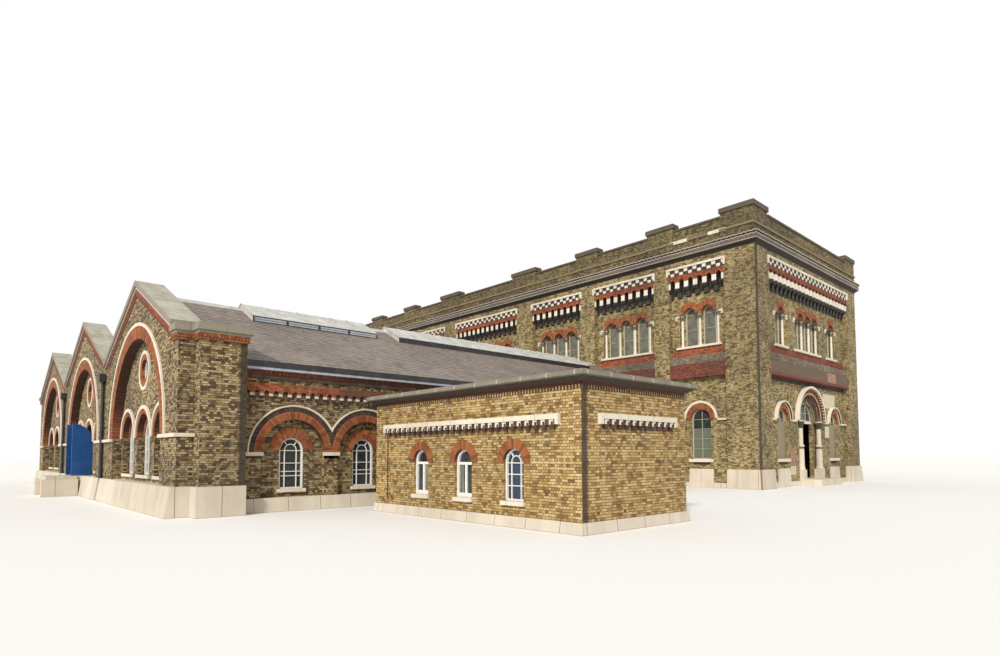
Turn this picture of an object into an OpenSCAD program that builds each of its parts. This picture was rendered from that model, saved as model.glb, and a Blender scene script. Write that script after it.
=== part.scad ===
// Victorian pumping station: a two-storey beam-engine house, the three-gabled
// boiler house in front of it, and a low flat-roofed annex beside them.
// All driving sizes are those of the real building in millimetres, with z = 0
// at ground level. The whole is drawn as a scale model by model_scale.

/* [Scale] */
// Size of the model as a share of the real building
model_scale = 0.5; // [0.05:0.05:1]

/* [Engine house] */
// Length of the engine house over its corner pilasters
engine_len = 46600; // [44000:100:50000]
// Width of the engine house from front to back
engine_w = 16600; // [15000:100:18000]
// Y of the engine house's front, behind the annex's front wall
engine_y = 22200; // [21000:100:24000]
// Thickness of the engine house's walls at the pilasters
engine_wall = 900; // [700:10:1000]
// Depth of the window bays between the pilasters
bay_recess = 400; // [200:10:450]
// Top of the stone plinth of the engine house
engine_plinth = 1120; // [800:10:1300]
// Top of the low plinth in the bays of the engine house
low_plinth = 300; // [200:10:400]
// Top of the brick wall, under the cornice
engine_wall_top = 14060; // [13900:10:14200]
// Top of the main cornice
engine_cornice_top = 14760; // [14500:10:15000]
// How far the main cornice stands out
engine_cornice_out = 300; // [200:10:450]
// Top of the brick parapet
parapet_top = 16050; // [15600:10:16200]
// How far the piers of the parapet rise above it
parapet_pier_up = 260; // [100:10:400]
// Thickness of the stone coping on the parapet
parapet_coping = 200; // [120:10:260]
// Thickness of the stone coping on the parapet's piers
pier_coping = 290; // [160:10:320]
// Underside of the string course round the parapet
parapet_string = 15250; // [15000:10:15600]

/* [Engine house windows] */
// Spacing of the upper lights in a group
upper_pitch = 1200; // [1120:10:1240]
// Radius of an upper light
upper_r = 420; // [360:10:440]
// Outer radius of the brick arch over an upper light
upper_ring = 760; // [640:10:800]
// Sill of the upper lights
upper_sill = 8700; // [8600:10:8800]
// Springing of the upper arches
upper_spring = 10700; // [10500:10:10800]
// Depth of the order that holds the upper columns
upper_order = 260; // [260:10:300]
// Radius of a lower window
lower_r = 640; // [540:10:700]
// Outer radius of the brick arch over a lower window
lower_ring = 980; // [900:10:1040]
// Outer radius of the stone hood over a lower window
lower_hood = 1120; // [1060:10:1200]
// Sill of the lower windows
lower_sill = 1720; // [1500:10:1900]
// Springing of the lower arches and of the entrance
lower_spring = 4150; // [4000:10:4300]
// Underside of the brick frieze between the storeys
frieze_low = 6700; // [6500:10:6800]
// Top of the brick frieze between the storeys
frieze_top = 7570; // [7500:10:7700]
// Top of the plain band over the frieze
storey_band_top = 8050; // [7900:10:8200]

/* [Engine house corbel tables] */
// Spacing of the corbels at the head of a bay
corbel_pitch = 580; // [500:10:660]
// Foot of the corbels
corbel_foot = 11820; // [11600:10:12100]
// Top of the corbels, where their little arches spring
corbel_head = 12800; // [12600:10:12900]
// Head of the bays, on top of the little arches
recess_top = 13250; // [13100:10:13400]
// Underside of the white band over a bay
frame_low = 13610; // [13500:10:13660]
// Top of the white band over a bay
frame_top = 13740; // [13700:10:13850]
// Width of the ends of the band, turned down beside the bay
frame_side = 120; // [80:10:200]

/* [Engine house entrance] */
// Clear half width of the entrance
entrance_r = 1200; // [1000:10:1300]
// Half width of the order in which the columns stand
entrance_order = 1780; // [1600:10:1900]
// Inner radius of the stone hood over the entrance
entrance_ring = 2130; // [2000:10:2200]
// Outer radius of the stone hood over the entrance
entrance_hood = 2290; // [2240:10:2400]
// Height of the landing at the entrance
landing_top = 400; // [300:10:500]
// Top of the blocks that the entrance's columns stand on
pedestal_top = 1000; // [800:10:1500]
// Radius of the entrance's columns
entrance_column_r = 150; // [120:10:180]
// Depth of the entrance's outer order
entrance_order_depth = 250; // [200:10:350]

/* [Boiler house] */
// Width of one gable
gable_w = 11400; // [11000:100:11800]
// Y of the gables, in front of the annex's front wall
gable_y = -6100; // [-6600:10:-5600]
// Thickness of a gable wall
gable_wall = 800; // [700:10:900]
// Depth of the panel inside each great arch
panel_recess = 350; // [250:10:400]
// Height of the wall at the apex, under its coping
gable_apex = 8600; // [8400:10:8800]
// Extra height of the middle gable
middle_gable_up = 200; // [0:10:300]
// Rise of the gables over one metre of width
gable_slope = 461; // [420:1:500]
// Thickness of the raking stone coping, upright
rake_coping = 330; // [200:10:400]
// Height of the stepped brick courses under the raking coping
rake_courses = 330; // [200:10:400]
// Top of the stone plinth under the gables
gable_plinth = 1000; // [800:10:1100]
// Height of the string course that carries the arches
string_z = 2740; // [2600:10:2900]
// Inner radius of the great arch of a gable
great_r = 3840; // [3700:10:3900]
// Outer radius of the brick of the great arch
great_ring = 4330; // [4200:10:4360]
// Outer radius of the stone hood of the great arch
great_hood = 4460; // [4400:10:4500]
// Spacing of the three small arches in a gable
small_pitch = 2550; // [2540:10:2600]
// Radius of a small arch, and half width of the doorway
small_r = 950; // [900:10:980]
// Outer radius of the brick of a small arch
small_ring = 1130; // [1080:10:1150]
// Outer radius of the stone hood of a small arch
small_hood = 1270; // [1200:5:1270]
// Width of the inner order of a small arch
small_order = 200; // [120:10:260]
// Depth at which the inner order of a small arch is set back in the panel
small_order_depth = 260; // [200:10:320]
// Sill of the gable windows
gable_sill = 1250; // [1150:10:1400]
// Height of the centre of the round window
oculus_z = 5390; // [5200:10:5500]
// Radius of the round window
oculus_r = 450; // [400:10:500]
// Outer radius of the round window's brick ring
oculus_ring = 660; // [600:10:700]
// Outer radius of the round window's stone ring
oculus_hood = 790; // [720:10:840]

/* [Boiler house sides] */
// Half width of the boiler house over its side walls
boiler_half = 17140; // [17100:10:17300]
// Thickness of the side walls
side_wall = 600; // [500:10:700]
// Depth of the arcade panels in the side walls
arcade_recess = 200; // [100:10:240]
// Spacing of the arches along a side wall
arcade_pitch = 2960; // [2900:10:3000]
// Y of the first arch of a side wall
arcade_first = -2160; // [-2300:10:-2000]
// Number of arches along a side wall
arcade_count = 8; // [6:1:8]
// Radius of an arch of the arcade
arcade_r = 1200; // [1100:10:1240]
// Outer radius of the brick of the arcade
arcade_ring = 1400; // [1340:10:1430]
// Outer radius of the stone hoods of the arcade
arcade_hood = 1470; // [1440:5:1475]
// Height of the imposts of the arcade
arcade_spring = 2120; // [2000:10:2300]
// Radius of a side window
side_r = 460; // [420:10:500]
// Sill of a side window
side_sill = 790; // [700:10:900]
// Springing of a side window
side_spring = 2190; // [2100:10:2300]
// Outer radius of the brick arch over a side window
side_ring = 840; // [760:10:900]
// Top of the plinth along the sides
side_plinth = 500; // [400:10:600]
// Underside of the little arches under the eaves
eaves_arches = 4210; // [4100:10:4300]
// Top of the little arches under the eaves
eaves_arches_top = 4560; // [4400:10:4600]
// Number of little arches under the eaves of a side
eaves_arch_count = 76; // [48:1:80]
// Underside of the projecting course under the gutter
eaves_course = 4800; // [4700:10:4900]
// Height of the eaves of the boiler house
eaves_z = 5200; // [5000:10:5300]
// Slope of the slate roofs in degrees
roof_pitch = 28; // [24:1:32]
// Thickness of the boarded and slated roof slopes, upright
roof_t = 180; // [120:10:240]
// Half width of the ridge ventilators
vent_half = 1400; // [1200:10:1600]
// Height of the sides of the ridge ventilators
vent_up = 260; // [160:10:320]
// Width of the corner piers of the boiler house along its side
pier_w = 1480; // [1300:10:1600]
// How far a corner pier stands out from the side wall
pier_out = 560; // [400:10:700]
// Underside of the cap of the corner piers
pier_cap_z = 5790; // [5600:10:5900]
// Top of the cap of the corner piers
pier_cap_top = 6340; // [6200:10:6450]
// Height of the brick courses in the cap of the corner piers
pier_cap_brick = 210; // [150:10:240]
// How far the cap runs in over the gable from the valley line
pier_cap_in = 500; // [400:10:600]

/* [Door leaves] */
// Height of the threshold of the boiler house door
threshold_z = 1000; // [900:10:1060]
// Thickness of a door leaf
leaf_t = 60; // [50:5:80]
// Gap round a door leaf
leaf_gap = 16; // [12:1:24]
// Distance of a hinge pin from the jamb
pin_in = 40; // [36:1:60]
// Angle at which the leaves stand open
leaf_open = 90; // [0:1:90]

/* [Annex] */
// Length of the annex
annex_len = 9600; // [9000:100:10200]
// Depth of the annex
annex_w = 4850; // [4500:50:5200]
// X of the annex's outer side
annex_x = 28900; // [28000:100:29500]
// Thickness of the annex's walls
annex_wall = 400; // [330:10:450]
// Top of the annex's plinth
annex_plinth = 300; // [200:10:400]
// Underside of the annex's cornice
annex_cornice_z = 3850; // [3700:10:3900]
// Top of the annex's coping
annex_top = 4120; // [4050:10:4250]
// How far the annex's coping stands out
annex_coping_out = 280; // [150:10:320]
// Radius of an annex window
annex_r = 400; // [360:10:440]
// Outer radius of the brick arch over an annex window
annex_ring = 660; // [600:10:700]
// Sill of the annex windows
annex_sill = 710; // [650:10:800]
// Springing of the annex windows
annex_spring = 1780; // [1700:10:1850]
// Spacing of the annex windows
annex_pitch = 2200; // [2100:10:2400]
// Depth of the panel that the annex's windows stand in
annex_recess = 50; // [40:10:100]
// Underside of the small corbels over the annex's windows
annex_corbel_z = 2780; // [2700:10:2850]
// Underside of the white band over the annex's windows
annex_band = 2920; // [2880:10:2960]
// Top of the white band over the annex's windows
annex_band_top = 3060; // [3000:10:3120]

/* [Hidden] */

$fn = 64;
// Open joint between stones that would otherwise run round a corner in one piece
joint = 4;
// Thin bed left under a sloped stone or sheet
bed = 0.5;
// Distance that a cut runs past a face
past = 50;
// Thickness of window glass with its frame
pane = 40;
// Trim stands this far out of the wall that carries it
trim = 70;

stock = "#9a8a5c";
brick_red = "#b8532e";
stone_white = "#e6dfcc";
stone_grey = "#8d8a80";
slate = "#6f6a70";
lead = "#b9bbb6";
iron_black = "#1d1d20";
door_blue = "#0b4f9c";
glass_tint = "#5a6a6a";

engine_half = engine_len / 2;
engine_back = engine_y + engine_w;
engine_mid = engine_y + engine_w / 2;
end_half = engine_w / 2;
end_pilaster = 1800;
// Half width of a block or sill under a lower window, beyond the glass
sill_side = 150;

// Half of the long wall: start, end and number of upper lights of each bay
half_bays = [[5630, 10480, 3], [11740, 16600, 3], [17700, 21400, 2]];
long_bays = concat(
    [for (i = [2 : -1 : 0]) [-half_bays[i][1], -half_bays[i][0], half_bays[i][2]]],
    [[-3850, 3850, 5]],
    half_bays
);
end_bay = [-end_half + end_pilaster, end_half - end_pilaster];
end_light_x = 4150;
end_window_x = 4200;

gable_x = [-gable_w, 0, gable_w];
gable_back = gable_y + gable_wall;
pier_y = gable_y + 530;
side_y0 = pier_y + pier_w;
valley = gable_w / 2;
ridge_z = eaves_z + valley * tan(roof_pitch);

annex_mid = annex_x - annex_len / 2;
engine_out = engine_half + engine_cornice_out;

// Plan centre of everything, which the model's origin stands under
low_x = -engine_out;
high_x = annex_x + annex_coping_out;
plinth_out = 300;
low_y = gable_y - plinth_out - 1500;
high_y = engine_back + engine_cornice_out;
mid_x = (low_x + high_x) / 2;
mid_y = (low_y + high_y) / 2;

module model() {
    scale(model_scale) translate([-mid_x, -mid_y, 0]) children();
}

// Frames of the four faces of a block: x along the face, y inwards, z up
module south_of(x, y) { translate([x, y, 0]) children(); }
module north_of(x, y) { translate([x, y, 0]) rotate([0, 0, 180]) children(); }
module east_of(x, y) { translate([x, y, 0]) rotate([0, 0, 90]) children(); }
module west_of(x, y) { translate([x, y, 0]) rotate([0, 0, -90]) children(); }

module engine_south() { south_of(0, engine_y) children(); }
module engine_north() { north_of(0, engine_back) children(); }
module engine_east() { east_of(engine_half, engine_mid) children(); }
module engine_west() { west_of(-engine_half, engine_mid) children(); }

// An outline seen from the front, given thickness from depth d0 to depth d1
module slab(d0, d1) {
    translate([0, d1, 0]) rotate([90, 0, 0]) linear_extrude(d1 - d0) children();
}

// A section of depth and height, drawn out along the face from u0 to u1
module run(u0, u1) {
    translate([u0, 0, 0]) rotate([90, 0, 90]) linear_extrude(u1 - u0) children();
}

module rect(x0, z0, x1, z1) {
    translate([x0, z0]) square([x1 - x0, z1 - z0]);
}

// Outline of a round-headed opening
module light(r, sill, spring) {
    rect(-r, sill, r, spring);
    translate([0, spring]) circle(r);
}

// Outline of the ring of an arch, from its springing up
module arch_ring(r_in, r_out) {
    difference() {
        circle(r_out);
        if (r_in > 0)
            circle(r_in);
        rect(-r_out - 1, -r_out - 1, r_out + 1, 0);
    }
}

function lights_of(bay) = [
    for (i = [0 : bay[2] - 1])
        (bay[0] + bay[1]) / 2 + (i - (bay[2] - 1) / 2) * upper_pitch
];

// Openings of a group of upper lights, with the square order for the columns
module upper_cut(lights) {
    for (x = lights)
        translate([x, 0, 0]) slab(-past, engine_wall + past) light(upper_r, upper_sill, upper_spring);
    x0 = lights[0] - upper_pitch / 2 - 130;
    x1 = lights[len(lights) - 1] + upper_pitch / 2 + 130;
    slab(bay_recess - past, bay_recess + upper_order) rect(x0, upper_sill, x1, upper_spring);
}

module lower_cut(x) {
    translate([x, 0, 0]) slab(-past, engine_wall + past) light(lower_r, lower_sill, lower_spring);
}

function lower_xs(bay) = bay[1] - bay[0] < 4000 ? [(bay[0] + bay[1]) / 2]
    : bay[1] - bay[0] < 6000 ? [for (s = [-1, 1]) (bay[0] + bay[1]) / 2 + s * 1200]
    : [for (s = [-1 : 1]) s * 2400];

// Outline of the three roofs of the boiler house, against the engine house
module roofs_outline() {
    for (x = gable_x)
        translate([x, 0]) polygon([
            [-valley - 40, 0], [valley + 40, 0],
            [valley + 40, ridge_z + roof_t - (valley + 40) * tan(roof_pitch)], [0, ridge_z + roof_t],
            [-valley - 40, ridge_z + roof_t - (valley + 40) * tan(roof_pitch)]
        ]);
}

// Brickwork of a bay beside the plinth blocks, down to the low plinth
module low_wall(x0, x1) {
    slab(bay_recess, engine_wall) rect(x0, low_plinth, x1, engine_plinth + past);
}

module long_wall(bays, lower_bays) {
    difference() {
        union() {
            slab(0, engine_wall) rect(-engine_half, engine_plinth, engine_half, engine_wall_top);
            for (b = lower_bays)
                low_wall(b[0], b[1]);
        }
        for (b = bays)
            slab(-past, bay_recess) difference() {
                rect(b[0], low_plinth - past, b[1], recess_top);
                children();
            }
        for (b = bays)
            upper_cut(lights_of(b));
        for (b = lower_bays)
            for (x = lower_xs(b))
                lower_cut(x);
    }
}

front_lower_bays = [long_bays[0], long_bays[6]];

module engine_front_wall() {
    color(stock) model() engine_south() long_wall(long_bays, front_lower_bays) roofs_outline();
}

module engine_back_wall() {
    color(stock) model() engine_north() long_wall(long_bays, long_bays);
}

end_lights = [[-end_light_x], [for (i = [-1 : 1]) i * upper_pitch], [end_light_x]];

// An end wall between the long walls, with its tall bay and its openings
module end_wall() {
    inner = end_half - engine_wall;
    difference() {
        union() {
            slab(0, engine_wall) rect(-inner, engine_plinth, inner, engine_wall_top);
            low_wall(end_bay[0], end_bay[1]);
        }
        slab(-past, bay_recess) rect(end_bay[0], low_plinth - past, end_bay[1], recess_top);
        for (lights = end_lights)
            upper_cut(lights);
        for (s = [-1, 1])
            lower_cut(s * end_window_x);
        children();
    }
}

// The entrance: a through arch inside a wider order that holds the columns
module entrance_cut() {
    slab(-past, engine_wall + past) light(entrance_r, 0, lower_spring);
    slab(-past, bay_recess + entrance_order_depth) light(entrance_order, 0, lower_spring);
}

module engine_east_wall_left() {
    color(stock) model() engine_east() intersection() {
        end_wall() entrance_cut();
        slab(-past, engine_wall + past) rect(-end_half, 0, 0, lower_spring);
    }
}

module engine_east_wall_right() {
    color(stock) model() engine_east() intersection() {
        end_wall() entrance_cut();
        slab(-past, engine_wall + past) rect(0, 0, end_half, lower_spring);
    }
}

module engine_east_wall_over() {
    color(stock) model() engine_east() difference() {
        end_wall() entrance_cut();
        slab(-past, engine_wall + past) rect(-end_half, 0, end_half, lower_spring);
    }
}

module engine_west_wall() {
    color(stock) model() engine_west() end_wall();
}

// Plan that cuts the ends of a course to mitres, so that four of them make a ring
module mitred(len, wall, out, z0, z1) {
    half = len / 2 - joint;
    intersection() {
        children();
        translate([0, 0, z0]) linear_extrude(z1 - z0) polygon([
            [-half - out, -out], [half + out, -out], [half - wall, wall], [-half + wall, wall]
        ]);
    }
}

// Section of the plinth: a battered stone course under the full wall
module plinth_section(out, wall, top) {
    polygon([[-out, 0], [wall, 0], [wall, top], [-out / 2, top]]);
}

// Plinth of one bay: a low course, with a battered block up to each window
module bay_plinth(x0, x1, xs) {
    half = lower_r + sill_side;
    edges = concat([x0 + joint], [for (x = xs) each [x - half, x + half]], [x1 - joint]);
    translate([0, bay_recess, 0]) {
        slab(0, engine_wall - bay_recess) rect(x0 + joint, 0, x1 - joint, low_plinth);
        for (i = [0 : 2 : len(edges) - 1])
            run(edges[i], edges[i + 1]) plinth_section(80, 0, low_plinth);
        for (x = xs)
            run(x - half, x + half) plinth_section(150, 0, engine_plinth);
    }
}

// Full plinth under the pilasters of a face, between its bays
module pilaster_plinth(edges, out) {
    for (i = [0 : 2 : len(edges) - 1])
        run(edges[i], edges[i + 1]) plinth_section(out, engine_wall, engine_plinth);
}

function between(bays, left, right) = concat([left], [for (b = bays) each [b[0], b[1]]], [right]);

module engine_plinth() {
    out = 160;
    top = engine_plinth;
    joined = boiler_half + out + joint;
    order = bay_recess + entrance_order_depth;
    west_end = [front_lower_bays[0][0], front_lower_bays[0][1]];
    east_end = [front_lower_bays[1][0], front_lower_bays[1][1]];
    color(stone_white) model() {
        engine_south() {
            mitred(engine_len, engine_wall, out, 0, top) pilaster_plinth([
                -engine_half - out, west_end[0], west_end[1], -joined, joined, east_end[0],
                east_end[1], engine_half + out
            ], out);
            run(-joined + joint, joined - joint) plinth_section(0, engine_wall, top);
            for (b = front_lower_bays)
                bay_plinth(b[0], b[1], lower_xs(b));
        }
        engine_north() {
            mitred(engine_len, engine_wall, out, 0, top)
                pilaster_plinth(between(long_bays, -engine_half - out, engine_half + out), out);
            for (b = long_bays)
                bay_plinth(b[0], b[1], lower_xs(b));
        }
        engine_west() {
            mitred(engine_w, engine_wall, out, 0, top)
                pilaster_plinth(between([end_bay], -end_half - out, end_half + out), out);
            bay_plinth(end_bay[0], end_bay[1], [-end_window_x, end_window_x]);
        }
        engine_east() {
            mitred(engine_w, engine_wall, out, 0, top)
                pilaster_plinth(between([end_bay], -end_half - out, end_half + out), out);
            bay_plinth(end_bay[0], -entrance_order, [-end_window_x]);
            bay_plinth(entrance_order, end_bay[1], [end_window_x]);
            for (s = [0, 1])
                mirror([s, 0, 0]) slab(order, engine_wall)
                    rect(entrance_r, 0, entrance_order - joint, low_plinth);
        }
    }
}

// Joined brick rings over a row of upper lights, flush with the bay's trim
module upper_rings(lights) {
    translate([0, 0, upper_spring]) slab(bay_recess - trim, bay_recess) difference() {
        union() {
            for (x = lights)
                translate([x, 0]) arch_ring(upper_r, upper_ring);
        }
        for (x = lights)
            translate([x, 0]) circle(upper_r);
    }
}

module lower_rings(xs) {
    for (x = xs)
        translate([x, 0, lower_spring]) slab(bay_recess - trim, bay_recess) arch_ring(lower_r, lower_ring);
}

module engine_brick_arches() {
    color(brick_red) model() {
        engine_south() {
            for (b = long_bays)
                upper_rings(lights_of(b));
            for (b = front_lower_bays)
                lower_rings(lower_xs(b));
        }
        engine_north() {
            for (b = long_bays)
                upper_rings(lights_of(b));
            for (b = long_bays)
                lower_rings(lower_xs(b));
        }
        for (side = [0, 1])
            mirror([side, 0, 0]) engine_east() {
                for (lights = end_lights)
                    upper_rings(lights);
                lower_rings([-end_window_x, end_window_x]);
            }
        engine_east() translate([0, 0, lower_spring]) {
            slab(bay_recess - trim, bay_recess) arch_ring(entrance_order, entrance_ring);
            slab(bay_recess + entrance_order_depth / 2, bay_recess + entrance_order_depth)
                arch_ring((entrance_r + entrance_order) / 2, entrance_order);
        }
    }
}

// Stone hoods, strings and sills of one lower row
module lower_stones(xs, b0, b1) {
    edges = concat([b0], [for (x = xs) each [x - lower_hood, x + lower_hood]], [b1]);
    for (x = xs) {
        translate([x, 0, lower_spring]) slab(bay_recess - 1.6 * trim, bay_recess)
            arch_ring(lower_ring, lower_hood);
        slab(bay_recess - 2 * trim, bay_recess)
            rect(x - lower_r - sill_side, lower_sill - 190, x + lower_r + sill_side, lower_sill);
    }
    for (i = [0 : 2 : len(edges) - 1])
        slab(bay_recess - 2 * trim, bay_recess)
            rect(edges[i], lower_spring - 110, edges[i + 1], lower_spring);
}

module upper_sill_stone(lights) {
    slab(bay_recess - 2 * trim, bay_recess)
        rect(lights[0] - 900, upper_sill - 130, lights[len(lights) - 1] + 900, upper_sill);
}

// White band over a bay, with its ends turned down beside the bay's head
module bay_frame(b0, b1) {
    slab(-trim, 0) difference() {
        rect(b0 - frame_side, recess_top, b1 + frame_side, frame_top);
        rect(b0, recess_top - 1, b1, frame_low);
    }
}

module engine_stone_strings() {
    transom_back = bay_recess + entrance_order_depth + 240;
    transom = 140;
    color(stone_white) model() {
        for (turn = [0, 180])
            translate([0, engine_mid, 0]) rotate([0, 0, turn]) translate([0, -engine_mid, 0]) engine_south()
                for (b = long_bays) {
                    upper_sill_stone(lights_of(b));
                    bay_frame(b[0], b[1]);
                }
        engine_south() for (b = front_lower_bays)
            lower_stones(lower_xs(b), b[0], b[1]);
        engine_north() for (b = long_bays)
            lower_stones(lower_xs(b), b[0], b[1]);
        for (side = [0, 1])
            mirror([side, 0, 0]) engine_east() {
                for (lights = end_lights)
                    upper_sill_stone(lights);
                bay_frame(end_bay[0], end_bay[1]);
                lower_stones([-end_window_x], end_bay[0], -entrance_hood);
                lower_stones([end_window_x], entrance_hood, end_bay[1]);
            }
        engine_east() {
            translate([0, 0, lower_spring])
                slab(bay_recess - 2 * trim, bay_recess) arch_ring(entrance_ring, entrance_hood);
            slab(transom_back - transom, transom_back)
                rect(-entrance_r, lower_spring - transom, entrance_r, lower_spring);
        }
    }
}

// Frieze and plain band between the storeys, filling each bay's recess
module storey_band(b0, b1) {
    slab(60, bay_recess) rect(b0, frieze_low, b1, frieze_top);
    slab(160, bay_recess) rect(b0, frieze_top, b1, storey_band_top);
}

module engine_storey_bands() {
    color(brick_red) model() {
        engine_south() difference() {
            for (b = long_bays)
                storey_band(b[0], b[1]);
            slab(-past, engine_wall) roofs_outline();
        }
        engine_north() for (b = long_bays)
            storey_band(b[0], b[1]);
        engine_east() storey_band(end_bay[0], end_bay[1]);
        engine_west() storey_band(end_bay[0], end_bay[1]);
    }
}

// A small column with base, tapered shaft and spreading capital
module colonnette(height, r) {
    cap = 4 * r;
    rotate_extrude($fn = 24) polygon([
        [0, 0], [1.5 * r, 0], [1.5 * r, 0.7 * r], [1.2 * r, 1.2 * r], [r, 1.5 * r],
        [0.9 * r, height - cap], [1.15 * r, height - cap + 0.3 * r], [1.15 * r, height - cap + 0.7 * r],
        [1.6 * r, height - 0.9 * r], [1.6 * r, height], [0, height]
    ]);
}

module upper_columns(lights) {
    r = 80;
    n = len(lights);
    for (i = [0 : n]) {
        x = lights[0] + (i - 0.5) * upper_pitch;
        translate([x, bay_recess + 1.6 * r, upper_sill]) colonnette(upper_spring - upper_sill, r);
    }
}

module engine_columns() {
    color(stone_white) model() {
        engine_south() for (b = long_bays)
            upper_columns(lights_of(b));
        engine_north() for (b = long_bays)
            upper_columns(lights_of(b));
        for (side = [0, 1])
            mirror([side, 0, 0]) engine_east() for (lights = end_lights)
                upper_columns(lights);
    }
}

function corbel_n(b0, b1) = round((b1 - b0) / corbel_pitch);

// Row of little brick arches that carries the head of a bay out to the pilasters
module corbel_arcade(b0, b1) {
    n = corbel_n(b0, b1);
    step = (b1 - b0) / n;
    slab(0, bay_recess) difference() {
        rect(b0, corbel_head, b1, recess_top);
        for (i = [0 : n - 1])
            translate([b0 + (i + 0.5) * step, corbel_head]) circle(step * 0.26, $fn = 24);
    }
}

// Stone corbels: a slim foot below, and a head that comes forward under the arches
module corbel_row(b0, b1) {
    foot = corbel_foot;
    n = corbel_n(b0, b1);
    step = (b1 - b0) / n;
    half = step * 0.24;
    for (i = [0 : n]) {
        x0 = max(b0 + joint, b0 + i * step - half);
        x1 = min(b1 - joint, b0 + i * step + half);
        run(x0, x1) polygon([
            [bay_recess, foot], [bay_recess - 130, foot + 70], [bay_recess - 160, foot + 360],
            [110, foot + 430], [20, foot + 540], [20, corbel_head], [bay_recess, corbel_head]
        ]);
    }
}

module engine_corbel_arches() {
    color(brick_red) model() {
        engine_south() for (b = long_bays)
            corbel_arcade(b[0], b[1]);
        engine_north() for (b = long_bays)
            corbel_arcade(b[0], b[1]);
        engine_east() corbel_arcade(end_bay[0], end_bay[1]);
        engine_west() corbel_arcade(end_bay[0], end_bay[1]);
    }
}

module engine_corbels() {
    color(stone_white) model() {
        engine_south() for (b = long_bays)
            corbel_row(b[0], b[1]);
        engine_north() for (b = long_bays)
            corbel_row(b[0], b[1]);
        engine_east() corbel_row(end_bay[0], end_bay[1]);
        engine_west() corbel_row(end_bay[0], end_bay[1]);
    }
}

// Section of the main cornice: a soffit, a fascia with a zigzag course, and a crowning slab
module cornice_section() {
    out = engine_cornice_out;
    low = engine_wall_top;
    top = engine_cornice_top;
    polygon([
        [engine_wall, low], [0, low], [-0.2 * out, low + 70], [-0.8 * out, low + 210],
        [-0.8 * out, top - 140], [-out, top - 100], [-out, top], [engine_wall, top]
    ]);
}

module engine_cornice() {
    out = engine_cornice_out;
    z0 = engine_wall_top;
    z1 = engine_cornice_top;
    color(iron_black) model() {
        engine_south() mitred(engine_len, engine_wall, out, z0, z1)
            run(-engine_half - out, engine_half + out) cornice_section();
        engine_north() mitred(engine_len, engine_wall, out, z0, z1)
            run(-engine_half - out, engine_half + out) cornice_section();
        engine_east() mitred(engine_w, engine_wall, out, z0, z1)
            run(-end_half - out, end_half + out) cornice_section();
        engine_west() mitred(engine_w, engine_wall, out, z0, z1)
            run(-end_half - out, end_half + out) cornice_section();
    }
}

parapet_t = 500;
parapet_piers = [4740, 11110, 17150, 22300];
pier_halves = [1300, 950, 950, 1000];
pier_front = 60;
end_pier = 1800;
coping_out = 70;

// Lengths of the low parapet of a long side, between its piers
pier_starts = [for (i = [0 : 3]) parapet_piers[i] - pier_halves[i]];
pier_ends = [for (i = [0 : 3]) parapet_piers[i] + pier_halves[i]];
low_lengths = concat(
    [[-pier_starts[0], pier_starts[0]]],
    [for (i = [0 : 2]) [pier_ends[i], pier_starts[i + 1]]],
    [for (i = [0 : 2]) [-pier_starts[i + 1], -pier_ends[i]]]
);

// Each pier of a long side, as a frame with x across the pier
module at_piers() {
    for (s = [-1, 1])
        for (i = [0 : 3])
            translate([s * parapet_piers[i], 0, 0]) {
                $half = pier_halves[i];
                children();
            }
}

module parapet_long() {
    top = parapet_top + parapet_pier_up;
    slab(0, parapet_t) rect(-engine_half, engine_cornice_top, engine_half, parapet_top);
    at_piers() slab(-pier_front, parapet_t) rect(-$half, engine_cornice_top, $half, top);
}

// Parapet of an end, between those of the long sides, with raised ends at the corners
module parapet_end() {
    inner = end_half - parapet_t - coping_out - joint;
    top = parapet_top + parapet_pier_up;
    slab(0, parapet_t) rect(-inner, engine_cornice_top, inner, parapet_top);
    for (s = [0, 1])
        mirror([s, 0, 0]) slab(0, parapet_t)
            rect(end_half - end_pier, engine_cornice_top, inner, top);
}

module engine_parapet() {
    color(stock) model() {
        engine_south() parapet_long();
        engine_north() parapet_long();
        engine_east() parapet_end();
        engine_west() parapet_end();
    }
}

// Section of the low coping: a stone with a weathered top
module coping_section() {
    z = parapet_top;
    edge = z + 0.6 * parapet_coping;
    polygon([
        [-coping_out, z], [parapet_t + coping_out, z], [parapet_t + coping_out, edge],
        [parapet_t / 2, z + parapet_coping], [-coping_out, edge]
    ]);
}

module coping_long() {
    top = parapet_top + parapet_pier_up;
    for (u = low_lengths)
        run(u[0] + joint, u[1] - joint) coping_section();
    at_piers() slab(-pier_front - coping_out, parapet_t + coping_out)
        rect(-$half - coping_out, top, $half + coping_out, top + pier_coping);
}

module coping_end() {
    low = end_half - end_pier - joint;
    top = parapet_top + parapet_pier_up;
    run(-low, low) coping_section();
    for (s = [0, 1])
        mirror([s, 0, 0]) slab(-coping_out, parapet_t + coping_out)
            rect(low + joint - coping_out, top, end_half - parapet_t - coping_out - joint, top + pier_coping);
}

// String course round the parapet: straight lengths, and stones that wrap each pier
module parapet_strings() {
    out = 60;
    h = 130;
    for (u = low_lengths)
        translate([0, 0, parapet_string]) slab(-out, 0)
            rect(u[0] + out + joint, 0, u[1] - out - joint, h);
    at_piers() translate([0, 0, parapet_string]) linear_extrude(h) difference() {
        rect(-$half - out, -pier_front - out, $half + out, 0);
        rect(-$half, -pier_front, $half, 1);
    }
}

module engine_coping() {
    color(stone_grey) model() {
        engine_south() {
            coping_long();
            parapet_strings();
        }
        engine_north() {
            coping_long();
            parapet_strings();
        }
        for (side = [0, 1])
            mirror([side, 0, 0]) engine_east() {
                coping_end();
                slab(-60, 0)
                    rect(-end_half + joint, parapet_string, end_half - joint, parapet_string + 130);
            }
    }
}

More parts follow.
